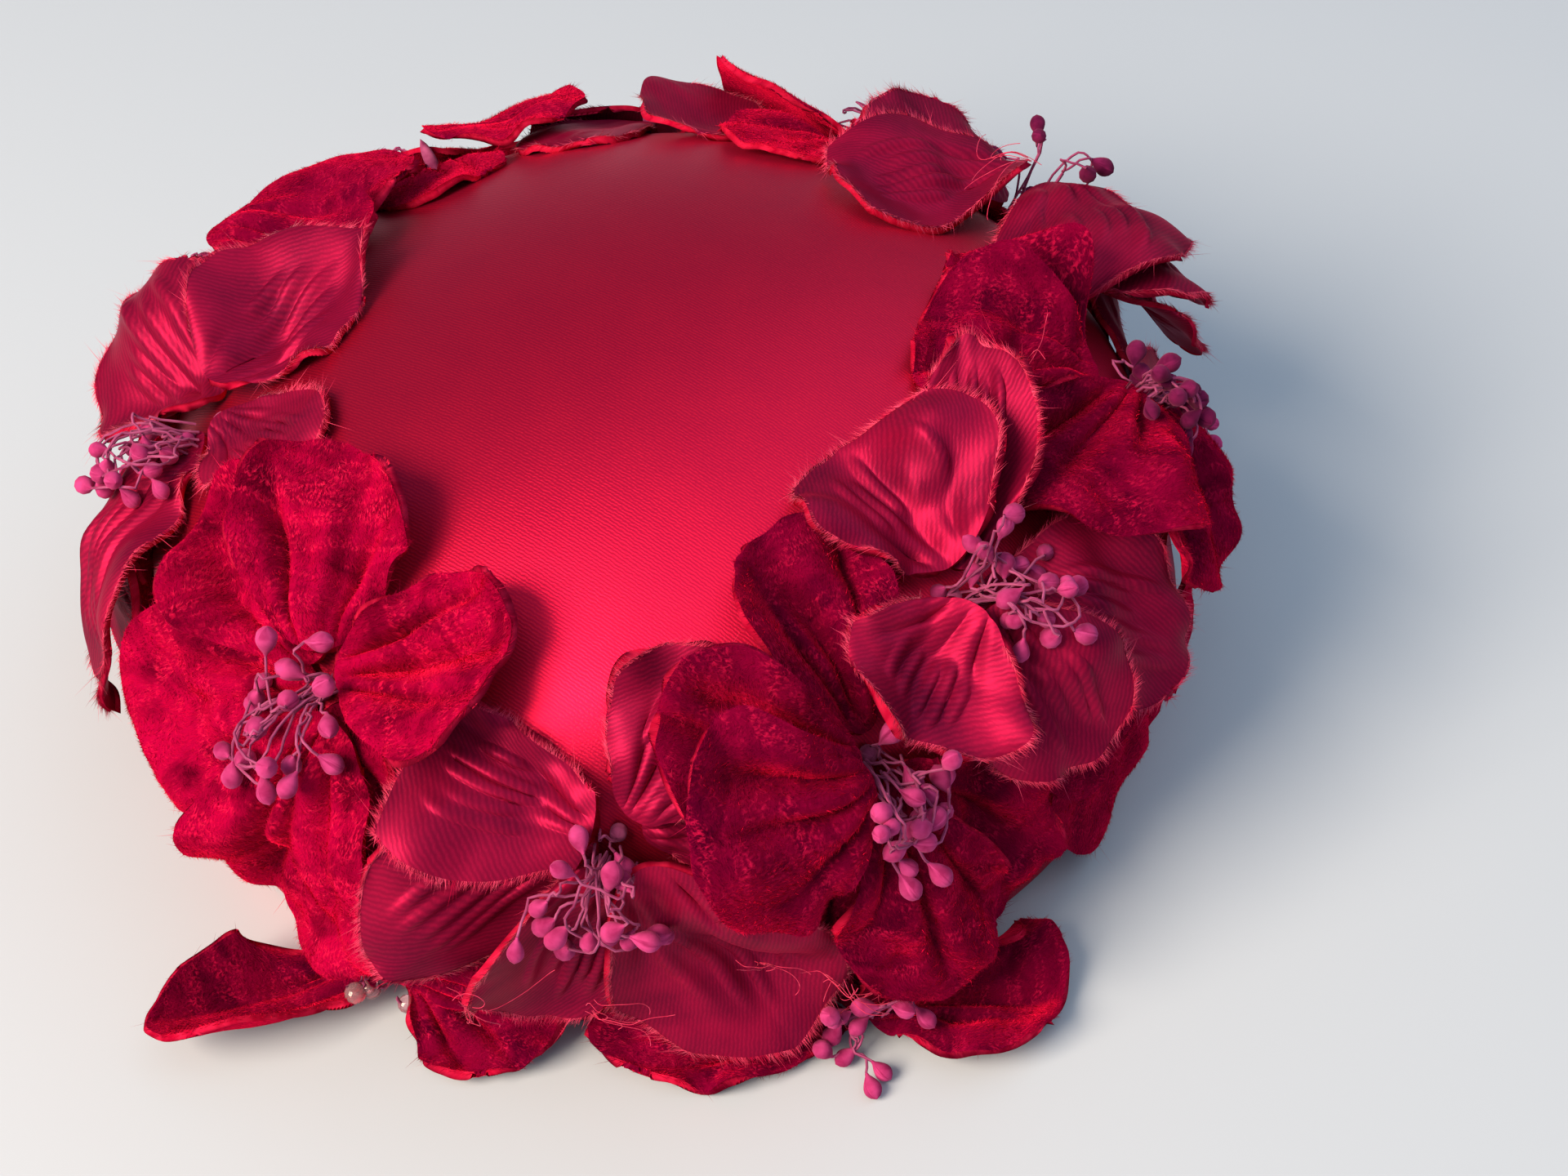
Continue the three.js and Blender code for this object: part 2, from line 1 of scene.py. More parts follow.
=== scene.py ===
# %% [markdown]
# # A fascinator hat of satin and velvet flowers
#
# The hat is a stiff dome covered in red satin, with a ring of cloth flowers sewn round its side.
# Its plain solids are packed already, and they say where every piece goes. This lesson dresses
# each of them: smooth cloth, pressed veins, frayed edges, pile and stamens. The imported frame is
# loaded first.

# %% Load the imported frame
import math

import bmesh
import bpy
import numpy as np
from mathutils import Matrix, Vector


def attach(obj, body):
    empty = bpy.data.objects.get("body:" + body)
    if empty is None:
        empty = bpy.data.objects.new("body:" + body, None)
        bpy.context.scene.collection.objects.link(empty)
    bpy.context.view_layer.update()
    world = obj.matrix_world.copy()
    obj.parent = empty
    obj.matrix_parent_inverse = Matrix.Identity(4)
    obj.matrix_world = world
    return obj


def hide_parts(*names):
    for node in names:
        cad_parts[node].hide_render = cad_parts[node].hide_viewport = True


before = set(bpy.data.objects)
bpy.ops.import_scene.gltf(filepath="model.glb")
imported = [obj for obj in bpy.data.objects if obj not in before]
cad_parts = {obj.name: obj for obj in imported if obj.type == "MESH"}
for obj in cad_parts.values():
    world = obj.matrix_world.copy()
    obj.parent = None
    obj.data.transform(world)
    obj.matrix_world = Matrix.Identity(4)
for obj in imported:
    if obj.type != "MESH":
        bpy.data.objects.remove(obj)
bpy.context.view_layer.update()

# %% [markdown]
# ## The crown seen from the side
#
# A hat block is turned on a lathe, so one side view describes it: a flat arc over the top, a
# tight arc at the shoulder and an upright side. Walking along that line gives three easy numbers
# for any place on the hat: the azimuth round it, the distance down the cloth and the height off
# it. A Bezier curve could draw the same line, but arcs can be walked by length, which is how
# cloth is measured. All lengths here are in millimetres, and they turn into metres when a mesh is
# made.

# %% Sizes of the crown
MM = 0.001
HAT_X, HAT_Y = 0, 3.2
TOP_RADIUS, TOP_ANGLE = 150, 28
SHOULDER_RADIUS, SHOULDER_ANGLE = 36, 62
SIDE_DEPTH = 33.6
CROWN_WALL = 2
FOOT_RADIUS, FLOOR_REACH = 14, 40
DOME = [(TOP_RADIUS, TOP_ANGLE), (SHOULDER_RADIUS, SHOULDER_ANGLE)]


# %% Walk along arcs and straights
def walk(piece, distance):
    """Radius, height and slope after a distance along one arc or straight."""
    r, z, turn, radius, _ = piece
    if not radius:
        return r + distance * np.cos(turn), z - distance * np.sin(turn), turn + 0 * distance
    now = turn + distance / radius
    return (
        r + radius * (np.sin(now) - np.sin(turn)),
        z + radius * (np.cos(now) - np.cos(turn)),
        now,
    )


def side_view(pieces, start_z):
    """Lay pieces of (radius, degrees) or (0, length) end to end from the middle of the top."""
    at, laid = (0.0, start_z, 0.0), []
    for radius, size in pieces:
        length = abs(radius) * math.radians(size) if radius else size
        laid.append((*at, radius, length))
        at = walk(laid[-1], length)
    return laid


def along(side, down):
    """Radius, height and slope at distances down a side view."""
    down = np.asarray(down, float)
    start, found = 0.0, None
    for piece in side:
        here = np.stack(walk(piece, down - start))
        found = here if found is None else np.where(down > start, here, found)
        start += piece[4]
    return found


# %% The crown's own side, and the side that spreads onto the table
dome_end = side_view(DOME, 0)[-1]
CROWN_HEIGHT = SIDE_DEPTH - float(walk(dome_end, dome_end[4])[1])
crown_side = side_view([*DOME, (0, SIDE_DEPTH)], CROWN_HEIGHT)
foot_side = side_view(
    [*DOME, (0, SIDE_DEPTH - FOOT_RADIUS), (-FOOT_RADIUS, 90), (0, FLOOR_REACH)], CROWN_HEIGHT
)
CROWN_LENGTH = sum(piece[4] for piece in crown_side)
print(f"crown {CROWN_HEIGHT:.1f} mm high, {CROWN_LENGTH:.1f} mm of cloth from middle to edge")


# %% From a place on the hat to a point
def place(side, azimuth, down, height):
    """Points in millimetres at an azimuth, a distance down a side view and a height off it."""
    r, z, turn = along(side, down)
    out = r + height * np.sin(turn)
    angle = np.radians(azimuth)
    x, y = HAT_X + out * np.sin(angle), HAT_Y - out * np.cos(angle)
    return np.stack([x, y, z + height * np.cos(turn)], axis=-1)


def beside(side, azimuth, right, down):
    """The azimuth some mm to the right of another one, at a distance down."""
    return azimuth + np.degrees(right / along(side, down)[0])


# %% [markdown]
# ## The flowers and their petals
#
# Each flower has a place on the hat, a cloth and a number of stamens. Each petal is a short row:
# which way it points, how far it reaches, its width and how it lifts and curls. A sculpted petal
# would need hundreds of points, while a row like this stays easy to read and to change. The rows
# run from the lowest petal to the highest, because each one is laid over those before it.

# %% Flowers
# Build is petals where each petal has its own solid, whole where one solid is the flower, and foot
# where it also lies on the table. The two leans and the spread, in mm, are those of its stamens.
FLOWER_COLUMNS = "azimuth down cloth build pips lean_right lean_down spread".split()
FLOWER_ROWS = [
    (-84, 75, "satin", "petals", 18, 7, 15, 7),
    (-36, 84, "velvet", "petals", 20, -2, 8, 10),
    (-3, 98, "satin", "petals", 17, -4, 10, 9),
    (23, 93, "velvet", "petals", 20, 1, 7, 7),
    (40, 78, "satin", "petals", 22, 6, 4, 8),
    (80, 80, "velvet", "petals", 18, -7, 5, 6),
    (121, 82, "satin", "petals", 9, 0, 0, 9),
    (151, 86, "velvet", "whole", 9, 0, 17, 5),
    (180, 88, "satin", "whole", 9, 0, 17, 5),
    (-150, 88, "velvet", "whole", 9, 0, 17, 5),
    (-116, 84, "velvet", "whole", 9, -2, 12, 5),
    (18, 146, "velvet", "foot", 14, 0, 3, 9),
    (-29, 134, "velvet", "foot", 0, 0, 0, 0),
    (57, 112, "velvet", "whole", 0, 0, 0, 0),
    (96, 112, "satin", "whole", 7, 0, 0, 5),
    (130, 114, "velvet", "whole", 7, 0, 0, 5),
    (164, 114, "satin", "whole", 7, 0, 0, 5),
    (-162, 114, "velvet", "whole", 7, 0, 0, 5),
    (-128, 114, "satin", "whole", 7, 0, 0, 5),
    (-95, 114, "velvet", "whole", 7, 0, 0, 5),
    (-64, 114, "satin", "whole", 0, 0, 0, 0),
]
flowers = {k: dict(zip(FLOWER_COLUMNS, row)) for k, row in enumerate(FLOWER_ROWS, 1)}
print(len(flowers), "flowers")


# %% Four even petals for a plain flower
def plain_petals(flower, spin, reach, lift):
    """The four petals of a flower that is like every other; spin turns the first one."""
    return [
        (flower, spin, reach, 28, 0, lift, 0, -1, 0.03, 1),
        (flower, spin + 90, reach - 2, 27, 0, lift, 2, 1, 0.03, 1),
        (flower, spin + 180, reach, 28, 0, lift, 0, -1, 0.03, 1),
        (flower, spin + 270, reach - 2, 27, 0, lift, 2, 1, 0.03, 1),
    ]


# %% Petals, lowest first
PETAL_COLUMNS = "flower towards reach width aside lift curl cup point round".split()
PETAL_ROWS = [
    (13, 114, 32, 27, 0, 0, 0, 1, 0, 1),
    (13, 70, 26, 22, 0, 2, 0, 0, 0, 1),
    (13, -143, 50, 17, 0, 4, 15, 4, 0, 1),
    (12, -84, 42, 22, 0, 0, 0, 0, 0, 1),
    (12, 20, 28, 22, 0, 2, 0, 0, 0, 1),
    (12, 55, 34, 24, 0, 2, 0, 1, 0, 1),
    (12, 107, 38, 27, 0, 2, 5, 2, 0, 1),
    *plain_petals(18, 60, 30, 4),
    *plain_petals(17, 30, 30, 4),
    *plain_petals(19, 15, 30, 4),
    *plain_petals(16, 5, 30, 5),
    *plain_petals(20, 45, 30, 6),
    *plain_petals(15, 50, 31, 8),
    *plain_petals(21, 20, 30, 6),
    *plain_petals(14, 25, 31, 8),
    *plain_petals(9, 45, 30, 0),
    *plain_petals(10, 20, 31, 0),
    *plain_petals(8, 15, 31, 0),
    (11, 130, 30, 26, 0, 6, 0, 1, 0, 1),
    (11, 60, 26, 24, 0, 4, 0, 1, 0, 1),
    (11, -140, 30, 26, 0, 6, 0, 1, 0, 1),
    (11, -60, 34, 28, 0, 6, 4, 1, 0, 1),
    (11, 0, 32, 24, 0, 6, 4, 1, 0, 1),
    (5, 128, 38, 26, 0, 6, 0, 1, 0, 1),
    (7, 75, 31, 27, 0, 6, 6, 1, 0, 1),
    (7, -125, 38, 25, 0, 8, 4, 1, 0, 1),
    (7, -104, 36, 22, 0, 8, -4, -2, 0, 1),
    (7, -78, 33, 26, 0, 10, 0, -2, 0.1, 0.8),
    (7, 22, 34, 27, 0, 6, 2, -1, 0.05, 0.6),
    (1, 150, 46, 24, 0, 0, 0, -2, 0.1, 1),
    (1, -115, 30, 28, 0, 4, 0, 1, 0.1, 1),
    (1, 55, 26, 25, 0, 6, 6, 1, 0, 0.9),
    (1, -42, 32, 26, 0, 4, 4, 1, 0.12, 1),
    (6, 175, 30, 26, 0, 8, 0, -1, 0, 1),
    (6, -130, 33, 23, 0, 6, 0, -1, 0, 1),
    (6, 34, 33, 18, 0, 4, 10, 1, 0, 1),
    (6, -10, 33, 30, 0, 4, 6, 1, 0.05, 0.9),
    (6, -80, 36, 30, 0, 6, 0, 1, 0, 0.9),
    (2, -125, 40, 28, 0, 8, -2, 1, 0, 0.9),
    (2, -65, 34, 22, 0, 8, 0, 2, 0, 1),
    (2, 146, 40, 22, 0, 6, 0, 2, 0, 1),
    (2, -176, 46, 33, -4, 6, -6, 0, 0, 0.8),
    (2, -28, 33, 25, 0, 8, 6, 2, 0, 0.9),
    (3, 85, 26, 22, 0, 4, 0, 1, 0, 1),
    (3, 35, 30, 26, 0, 4, 8, 2, 0, 0.9),
    (3, -112, 36, 25, 0, 4, 0, -1, 0, 0.9),
    (3, -158, 37, 24, 0, 6, 0, 1, 0, 1),
    (4, -134, 29, 24, 0, 4, 4, 1, 0, 0.9),
    (4, -2, 36, 24, 0, 4, 8, 2, 0, 1),
    (3, -72, 31, 20, 1, 2, 0, -1, 0, 0.3),
    (2, 62, 29, 27, 0, 8, 14, 3, 0, 0.9),
    (3, 154, 45, 34, -2, 4, -4, -1, 0.06, 0.8),
    (4, 146, 38, 25, 0, 8, -2, -1, 0, 1),
    (4, 176, 37, 26, 0, 8, -4, -1, 0.04, 1),
    (4, -70, 31, 22, 0, 6, 12, 3, 0, 0.9),
    (4, -94, 28, 25, 0, 8, 0, -1, 0.04, 0.9),
    (5, 44, 34, 18, 0, 8, 14, 3, 0.05, 1),
    (5, 2, 28, 31, 0, 4, 6, 1, 0.08, 0.8),
    (5, 176, 27, 25, 0, 6, 0, -1, 0, 0.9),
    (5, -118, 24, 24, 0, 8, -4, -1, 0.04, 1),
]
petals = [dict(zip(PETAL_COLUMNS, row)) for row in PETAL_ROWS]
PETAL_THICKNESS, GAP = 1.3, 0.45
ROOT, WHOLE_ROOT = 3.6, 1  # mm from the flower's centre to where a petal starts
for petal in petals:
    petal["root"] = ROOT if flowers[petal["flower"]]["build"] == "petals" else WHOLE_ROOT
print(len(petals), "petals")

# %% [markdown]
# ## Laying one petal over another
#
# On the real hat each petal rests on what was sewn on before it. A cloth simulation of ninety
# petals would take minutes and never come out twice the same, so the lying cloth is kept as a
# height map instead, a grid over azimuth and distance down. Each petal first rests on a softened
# copy of that map, is raised where it would still cut in, and is then added to the map itself.
# There are two maps, one for the crown's side and one for the cloth that spreads out onto the
# table. This round is coarse and gives the petals' rest; finer maps of the same kind are filled
# when they are dressed.

# %% Height maps of what already lies on the hat
CELL_AZIMUTH, CELL_DOWN = 1.5, 2
COLUMNS = int(360 / CELL_AZIMUTH)
ROWS = math.ceil(sum(piece[4] for piece in foot_side) / CELL_DOWN) + 1
SPREAD_CELLS = 2
FAR_OFF = 9  # mm; cloth further off the upright side than this already lies on the table
sides = {"crown": crown_side, "foot": foot_side}


def empty_maps(finer):
    """A map for each side view; finer divides every cell into that many each way."""
    return {name: np.zeros(((ROWS - 1) * finer + 1, COLUMNS * finer)) for name in sides}


lying = empty_maps(1)
print("height maps of", ROWS, "by", COLUMNS, "cells")


def side_of(flower):
    """The side view that a flower is laid on."""
    return "foot" if flower["build"] == "foot" else "crown"


def in_cells(grid, azimuth, down):
    """A place counted in the map's cells, across and down."""
    finer = grid.shape[1] / COLUMNS
    return np.asarray(azimuth) * finer / CELL_AZIMUTH, np.asarray(down) * finer / CELL_DOWN


def cell(grid, azimuth, down):
    """Row and column of the map's cell at a place."""
    x, y = in_cells(grid, azimuth, down)
    row = np.clip(np.floor(y + 0.5).astype(int), 0, grid.shape[0] - 1)
    return row, np.floor(x + 0.5).astype(int) % grid.shape[1]


def merged(grid, merge, reach=SPREAD_CELLS, around="wrap"):
    """Each cell merged with its neighbours, down the rows and then along them."""
    rows, columns = grid.shape
    padded = np.pad(grid, ((reach, reach), (0, 0)), mode="edge")
    grid = merge([padded[k : k + rows] for k in range(2 * reach + 1)], axis=0)
    padded = np.pad(grid, ((0, 0), (reach, reach)), mode=around)
    return merge([padded[:, k : k + columns] for k in range(2 * reach + 1)], axis=0)


def resting_surface(flower):
    """A softened copy of what lies where a flower goes."""
    return merged(merged(lying[side_of(flower)], np.max), np.mean)


def height_on(grid, azimuth, down):
    """The map's height at places between its cells."""
    x, y = in_cells(grid, azimuth, down)
    x0, y0 = np.floor(x).astype(int), np.floor(y).astype(int)

    def corner(i, j):
        return grid[np.clip(y0 + j, 0, grid.shape[0] - 1), (x0 + i) % grid.shape[1]]

    upper = corner(0, 0) * (1 - x + x0) + corner(1, 0) * (x - x0)
    lower = corner(0, 1) * (1 - x + x0) + corner(1, 1) * (x - x0)
    return upper * (1 - y + y0) + lower * (y - y0)


# %% A petal's outline and bend
def unit(vectors):
    """The same directions, each of length 1."""
    return vectors / np.maximum(np.linalg.norm(vectors, axis=-1, keepdims=True), 1e-9)


def smooth(value, low, high):
    """0 below low, 1 above high and an even slope between."""
    t = np.clip((value - low) / (high - low), 0, 1)
    return t * t * (3 - 2 * t)


def petal_outline(petal, a, b):
    """Across, share of length, side and length of the petal's points, for a and b from -1 to 1."""
    x = a * np.sqrt(1 - petal["round"] * b * b / 2)
    y = b * np.sqrt(1 - petal["round"] * a * a / 2)
    share = (y + 1) / 2
    side = x * petal["width"] / 2 * (0.55 + 0.45 * smooth(share, 0, 0.6))
    tip = petal["point"] * (1 - np.minimum(np.abs(x), 1)) ** 2 * smooth(share, 0.6, 1)
    return x, share, side + petal["aside"], (petal["reach"] - petal["root"]) * (share + tip)


def bend(petal, length):
    """How far out, and how high up, the petal's middle line is after a length."""
    steps = 8
    out, up = 0, 0
    for i in range(steps):
        share = (i + 0.5) / steps * length / (petal["reach"] - petal["root"])
        angle = np.radians(petal["lift"] + petal["curl"] * share * share)
        out, up = out + np.cos(angle) * length / steps, up + np.sin(angle) * length / steps
    return out, up


def petal_places(petal, a, b):
    """Azimuth, distance down and own height of the petal's points."""
    flower = flowers[petal["flower"]]
    x, share, side, length = petal_outline(petal, a, b)
    out, up = bend(petal, length)
    turn = math.radians(petal["towards"])
    right = (petal["root"] + out) * math.sin(turn) + side * math.cos(turn)
    down = flower["down"] - (petal["root"] + out) * math.cos(turn) + side * math.sin(turn)
    azimuth = beside(sides[side_of(flower)], flower["azimuth"], right, down)
    return azimuth, down, up + petal["cup"] * x * x * smooth(share, 0.1, 0.7)


# %% Raise a petal clear of what lies below it
SAMPLES, ROUNDS = 7, 8  # points along a face's side, and the most times a petal is raised
CLEAR_ENOUGH = 0.01  # mm
steps = np.linspace(0, 1, SAMPLES)
s, t = (grid.ravel() for grid in np.meshgrid(steps, steps))
SAMPLE_WEIGHTS = np.stack([(1 - s) * (1 - t), s * (1 - t), (1 - s) * t, s * t])


def samples(sheet):
    """Points spread over a coarse sheet's faces, by row, column and sample."""
    corners = np.stack([sheet[:-1, :-1], sheet[:-1, 1:], sheet[1:, :-1], sheet[1:, 1:]])
    return np.einsum("ks,krcn->rcsn", SAMPLE_WEIGHTS, corners)


def raise_clear(flower, sheet):
    """Raise the corners of a coarse petal until no sample of it cuts in."""
    near = merged(lying[side_of(flower)], np.max, reach=1)
    for _ in range(ROUNDS):
        points = samples(sheet)
        under = near[cell(near, points[..., 0], points[..., 1])]
        short = (under + GAP + PETAL_THICKNESS / 2 - points[..., 2]).max(axis=2)
        lift = np.zeros(sheet.shape[:2])
        for j in (0, 1):
            for i in (0, 1):
                part = lift[j : j + short.shape[0], i : i + short.shape[1]]
                np.maximum(part, short, out=part)
        if lift.max() <= CLEAR_ENOUGH:
            return
        sheet[..., 2] += lift


def seen_from(side, r, z, stations):
    """How far down a side view points are, and how far off it."""
    at_r, at_z, turn = along(side, stations)
    nearest = np.hypot(r[:, None] - at_r, z[:, None] - at_z).argmin(axis=1)
    turn = turn[nearest]
    height = (r - at_r[nearest]) * np.sin(turn) + (z - at_z[nearest]) * np.cos(turn)
    return stations[nearest], height


def lay(maps, flower, places, half):
    """Add a petal's points to the maps of both side views; half is half its thickness."""
    azimuth, down, height = places.reshape(-1, 3).T
    own = side_of(flower)
    r, z, turn = along(sides[own], down)
    r, z = r + height * np.sin(turn), z + height * np.cos(turn)
    for name, side in sides.items():
        grid = maps[name]
        if name == own:
            np.maximum.at(grid, cell(grid, azimuth, down), height + half)
            continue
        step = CELL_DOWN * COLUMNS / grid.shape[1]
        far_down, off = seen_from(side, r, z, np.arange(len(grid)) * step)
        close = off <= FAR_OFF
        for shift in (-step, 0, step):
            cells = cell(grid, azimuth[close], far_down[close] + shift)
            np.maximum.at(grid, cells, off[close] + half)


# %% Lay every petal in turn
ACROSS, PLAIN_ACROSS, LENGTHWISE = 4, 2, 4  # faces of a coarse petal
for petal in petals:
    flower = flowers[petal["flower"]]
    across = ACROSS if flower["build"] == "petals" else PLAIN_ACROSS
    a, b = np.meshgrid(np.linspace(-1, 1, across + 1), np.linspace(-1, 1, LENGTHWISE + 1))
    azimuth, down, up = petal_places(petal, a, b)
    under = height_on(resting_surface(flower), azimuth, down)
    sheet = np.stack([azimuth, down, under + GAP + PETAL_THICKNESS / 2 + up], axis=-1)
    raise_clear(flower, sheet)
    lay(lying, flower, samples(sheet), PETAL_THICKNESS / 2)
    petal["rests"] = sheet[..., 2] - up
print("highest cloth off the crown, mm:", round(float(lying["crown"].max()), 1))

# %% [markdown]
# ## Colours and nodes
#
# Dyed cloth is matched in the colours of a screen, so every colour is written as an sRGB hex value
# and turned to linear light by one function. Materials are built from nodes, and one small
# function adds a node with its settings and its links, which keeps a long material readable.


# %% Helpers for materials
def linear(hex_colour):
    """An sRGB hex colour as linear red, green, blue and alpha."""
    parts = [int(hex_colour[i : i + 2], 16) / 255 for i in (1, 3, 5)]
    return [c / 12.92 if c <= 0.04045 else ((c + 0.055) / 1.055) ** 2.4 for c in parts] + [1]


def put(material, kind, settings={}, links={}):
    """Add a node, set its inputs or properties, and link sockets into its inputs.

    The kind is Blender's own name for it without ShaderNode. A node in place of a socket stands
    for its first output.
    """
    made = material.node_tree.nodes.new("ShaderNode" + kind)
    for name, value in settings.items():
        if isinstance(name, str) and name not in made.inputs:
            setattr(made, name, value)
    for name, value in settings.items():
        if not isinstance(name, str) or name in made.inputs:
            made.inputs[name].default_value = value
    for name, source in links.items():
        socket = source.outputs[0] if isinstance(source, bpy.types.Node) else source
        material.node_tree.links.new(socket, made.inputs[name])
    return made


def start_material(name):
    material = bpy.data.materials.new(name)
    material.use_nodes = True
    material.node_tree.nodes.clear()
    return material


def finish_material(material, surface):
    put(material, "OutputMaterial", links={"Surface": surface})
    print("made", material.name)
    return material


def start_cloth(name):
    """A material and the flat map, in mm, that its cloth is drawn over."""
    made = start_material(name)
    return made, put(made, "UVMap", {"uv_map": "cloth"})


def bands(period):
    """The Wave texture's scale for one band in each period; it goes through 20 radians a unit."""
    return 2 * math.pi / 20 / period


# %% [markdown]
# ## Duchesse satin on the crown
#
# Duchesse satin is a heavy cloth whose long floating threads lie side by side, so it shines in
# broad soft sweeps along them and shows a fine diagonal line. A plain glossy shader looks like
# plastic. Part metallic gives the gloss the cloth's own red, anisotropy stretches it across the
# threads, and diagonal waves draw the weave. Real lines are 0.4 to 0.45 mm apart. They are drawn
# a little coarser, at 0.55 mm, which is as fine as still shows.

# %% Satin
SATIN_ANISOTROPY = 0.5
THREADS, WORN_PATCHES = 2.4, 0.09  # how many of each there are in a millimetre


def satin(name, deep, bright, grazing, line, slope, wear, show, gloss, rough, veil):
    """Satin over a map measured in mm, with worn patches and a diagonal line every few tenths.

    Slope is in degrees; wear, show, gloss and veil are shares, veil being that of a soft sheen.
    """
    made, cloth = start_cloth(name)
    turned = put(made, "Mapping", {"Rotation": (0, 0, math.radians(slope))}, {"Vector": cloth})
    diagonal = put(made, "TexWave",
                   {"Scale": bands(line), "Distortion": 3.0, "Detail": 2.0, "Detail Scale": 1.6},
                   {"Vector": turned})
    threads = put(made, "TexNoise", {"Scale": THREADS, "Detail": 2.0}, {"Vector": cloth})
    weave = put(made, "Math", {"operation": "MULTIPLY"},
                {0: diagonal.outputs["Fac"], 1: threads.outputs["Fac"]})
    rubbed = put(made, "TexNoise", {"Scale": WORN_PATCHES, "Detail": 3.0, "Distortion": 0.4},
                 {"Vector": cloth})
    worn = put(made, "MapRange",
               {"From Min": 0.3, "From Max": 0.7,
                "To Min": 0.4 - wear / 2, "To Max": 0.4 + wear / 2},
               {"Value": rubbed.outputs["Fac"]})
    mixed = put(made, "Math", {"operation": "MULTIPLY_ADD", 1: show}, {0: weave, 2: worn})
    dyed = put(made, "Mix", {"data_type": "RGBA", 6: linear(deep), 7: linear(bright)}, {0: mixed})
    relief = put(made, "Bump", {"Strength": show / 2, "Distance": 0.0001}, {"Height": weave})
    grain = put(made, "Tangent", {"direction_type": "UV_MAP", "uv_map": "cloth"})
    surface = put(made, "BsdfPrincipled",
                  {"Metallic": gloss, "Roughness": rough, "Anisotropic": SATIN_ANISOTROPY,
                   "Anisotropic Rotation": 0.1, "Specular IOR Level": 0.15,
                   "Specular Tint": linear(grazing), "Sheen Weight": veil,
                   "Sheen Roughness": 0.4, "Sheen Tint": linear("#FF3068")},
                  {"Base Color": dyed.outputs[2], "Normal": relief, "Tangent": grain})
    return finish_material(made, surface)


crown_satin = satin("duchesse_satin", "#9C063E", "#E01E42", "#FFFFFF", line=0.55, slope=-52,
                    wear=0.1, show=0.8, gloss=0.85, rough=0.44, veil=0.12)

# %% [markdown]
# ## Satin for the petals
#
# The satin petals are cut from a lighter satin in two layers, stiffened with size and pressed in
# a hot mould. The same recipe serves as for the crown, with a deeper dye and less of the metallic
# sweep, because the size dulls the threads. Worn patches differ more, and at a flat angle the
# cloth shines rose instead of white, or its shaded side would look grey.

# %% Petal satin
petal_satin = satin("pressed_petal_satin", "#480628", "#A6103E", "#F4A0B4", line=0.6, slope=35,
                    wear=0.5, show=0.5, gloss=0.45, rough=0.46, veil=0.1)

# %% [markdown]
# ## Crushed velvet
#
# Rayon velvet has an upright pile. Crushed with heat, it glows where it leans to the light and is
# nearly black-red where it leans away, and here that light and shade are painted into its colour.
# Patches painted as images would have to be redone on every petal, so three noises do it: patches
# of 7 mm darken the base as painted shade, single tufts half a millimetre across are painted
# glints, and wavy bands about 5 mm wide say where they are. Sheen gives the soft light rim that
# pile has at a flat angle, and there is almost no gloss. The recipe is mixed four times: the
# pile's fibres get a lighter copy, a painted sheen, and some flowers get a deeper one, partly a
# deeper dye lot and partly painted shade.


# %% Velvet
PATCH = 7  # mm across a darker patch
TUFTS, BANDS = (3.2, 1.6, 1), (0.1, 0.2, 1)  # how many in a millimetre, across and along


def velvet(name, shaded, body, lit):
    """Pile with painted shade in patches and painted glints in bands of tufts, over a map in mm.
    """
    made, cloth = start_cloth(name)
    patches = put(made, "TexNoise", {"Scale": 1 / PATCH, "Detail": 3.0, "Distortion": 0.9},
                  {"Vector": cloth})
    # Painted shade: darker patches where the pile leans away from the light.
    lean = put(made, "MapRange", {"From Min": 0.33, "From Max": 0.6},
               {"Value": patches.outputs["Fac"]})
    base = put(made, "Mix", {"data_type": "RGBA", 6: linear(shaded), 7: linear(body)}, {0: lean})
    stretched = put(made, "Mapping", {"Scale": TUFTS}, {"Vector": cloth})
    tufts = put(made, "TexNoise", {"Scale": 1.0, "Detail": 2.0, "Distortion": 0.6},
                {"Vector": stretched})
    crushed = put(made, "Mapping", {"Location": (40, 9, 0), "Scale": BANDS}, {"Vector": cloth})
    wavy = put(made, "TexNoise", {"Scale": 1.0, "Detail": 2.0, "Distortion": 2.0},
               {"Vector": crushed})
    # Painted glints: bright tufts in wavy bands, where the pile catches the light.
    band = put(made, "MapRange", {"From Min": 0.46, "From Max": 0.62, "To Min": 0.08},
               {"Value": wavy.outputs["Fac"]})
    glint = put(made, "MapRange", {"From Min": 0.46, "From Max": 0.7, "To Max": 0.8},
                {"Value": tufts.outputs["Fac"]})
    painted_glints = put(made, "Math", {"operation": "MULTIPLY"}, {0: band, 1: glint})
    pile = put(made, "Mix", {"data_type": "RGBA", 7: linear(lit)}, {0: painted_glints, 6: base.outputs[2]})
    relief = put(made, "Bump", {"Strength": 0.7, "Distance": 0.0004},
                 {"Height": tufts.outputs["Fac"]})
    surface = put(made, "BsdfPrincipled",
                  {"Roughness": 0.8, "Specular IOR Level": 0.0, "Sheen Weight": 1.0,
                   "Sheen Roughness": 0.45, "Sheen Tint": linear("#FF1446")},
                  {"Base Color": pile.outputs[2], "Normal": relief})
    return finish_material(made, surface)


# Each velvet darkens its patches as painted shade and lights its tufts as painted glints.
petal_velvet = velvet("crushed_rayon_velvet", "#5A001E", "#9C0236", "#E8164A")
# The two pile copies are lighter than their cloths, as painted sheen on the fibres.
pile_painted_sheen = velvet("velvet_fibres_painted_sheen", "#6A0028", "#B80238", "#FF3062")
# The deeper pair stands partly for a deeper dye lot and partly for painted shade.
deep_velvet = velvet("deeper_crushed_velvet", "#3A001C", "#6C022A", "#B81242")
deep_pile_painted_sheen = velvet("deeper_fibres_painted_sheen", "#480222", "#820234", "#D82250")
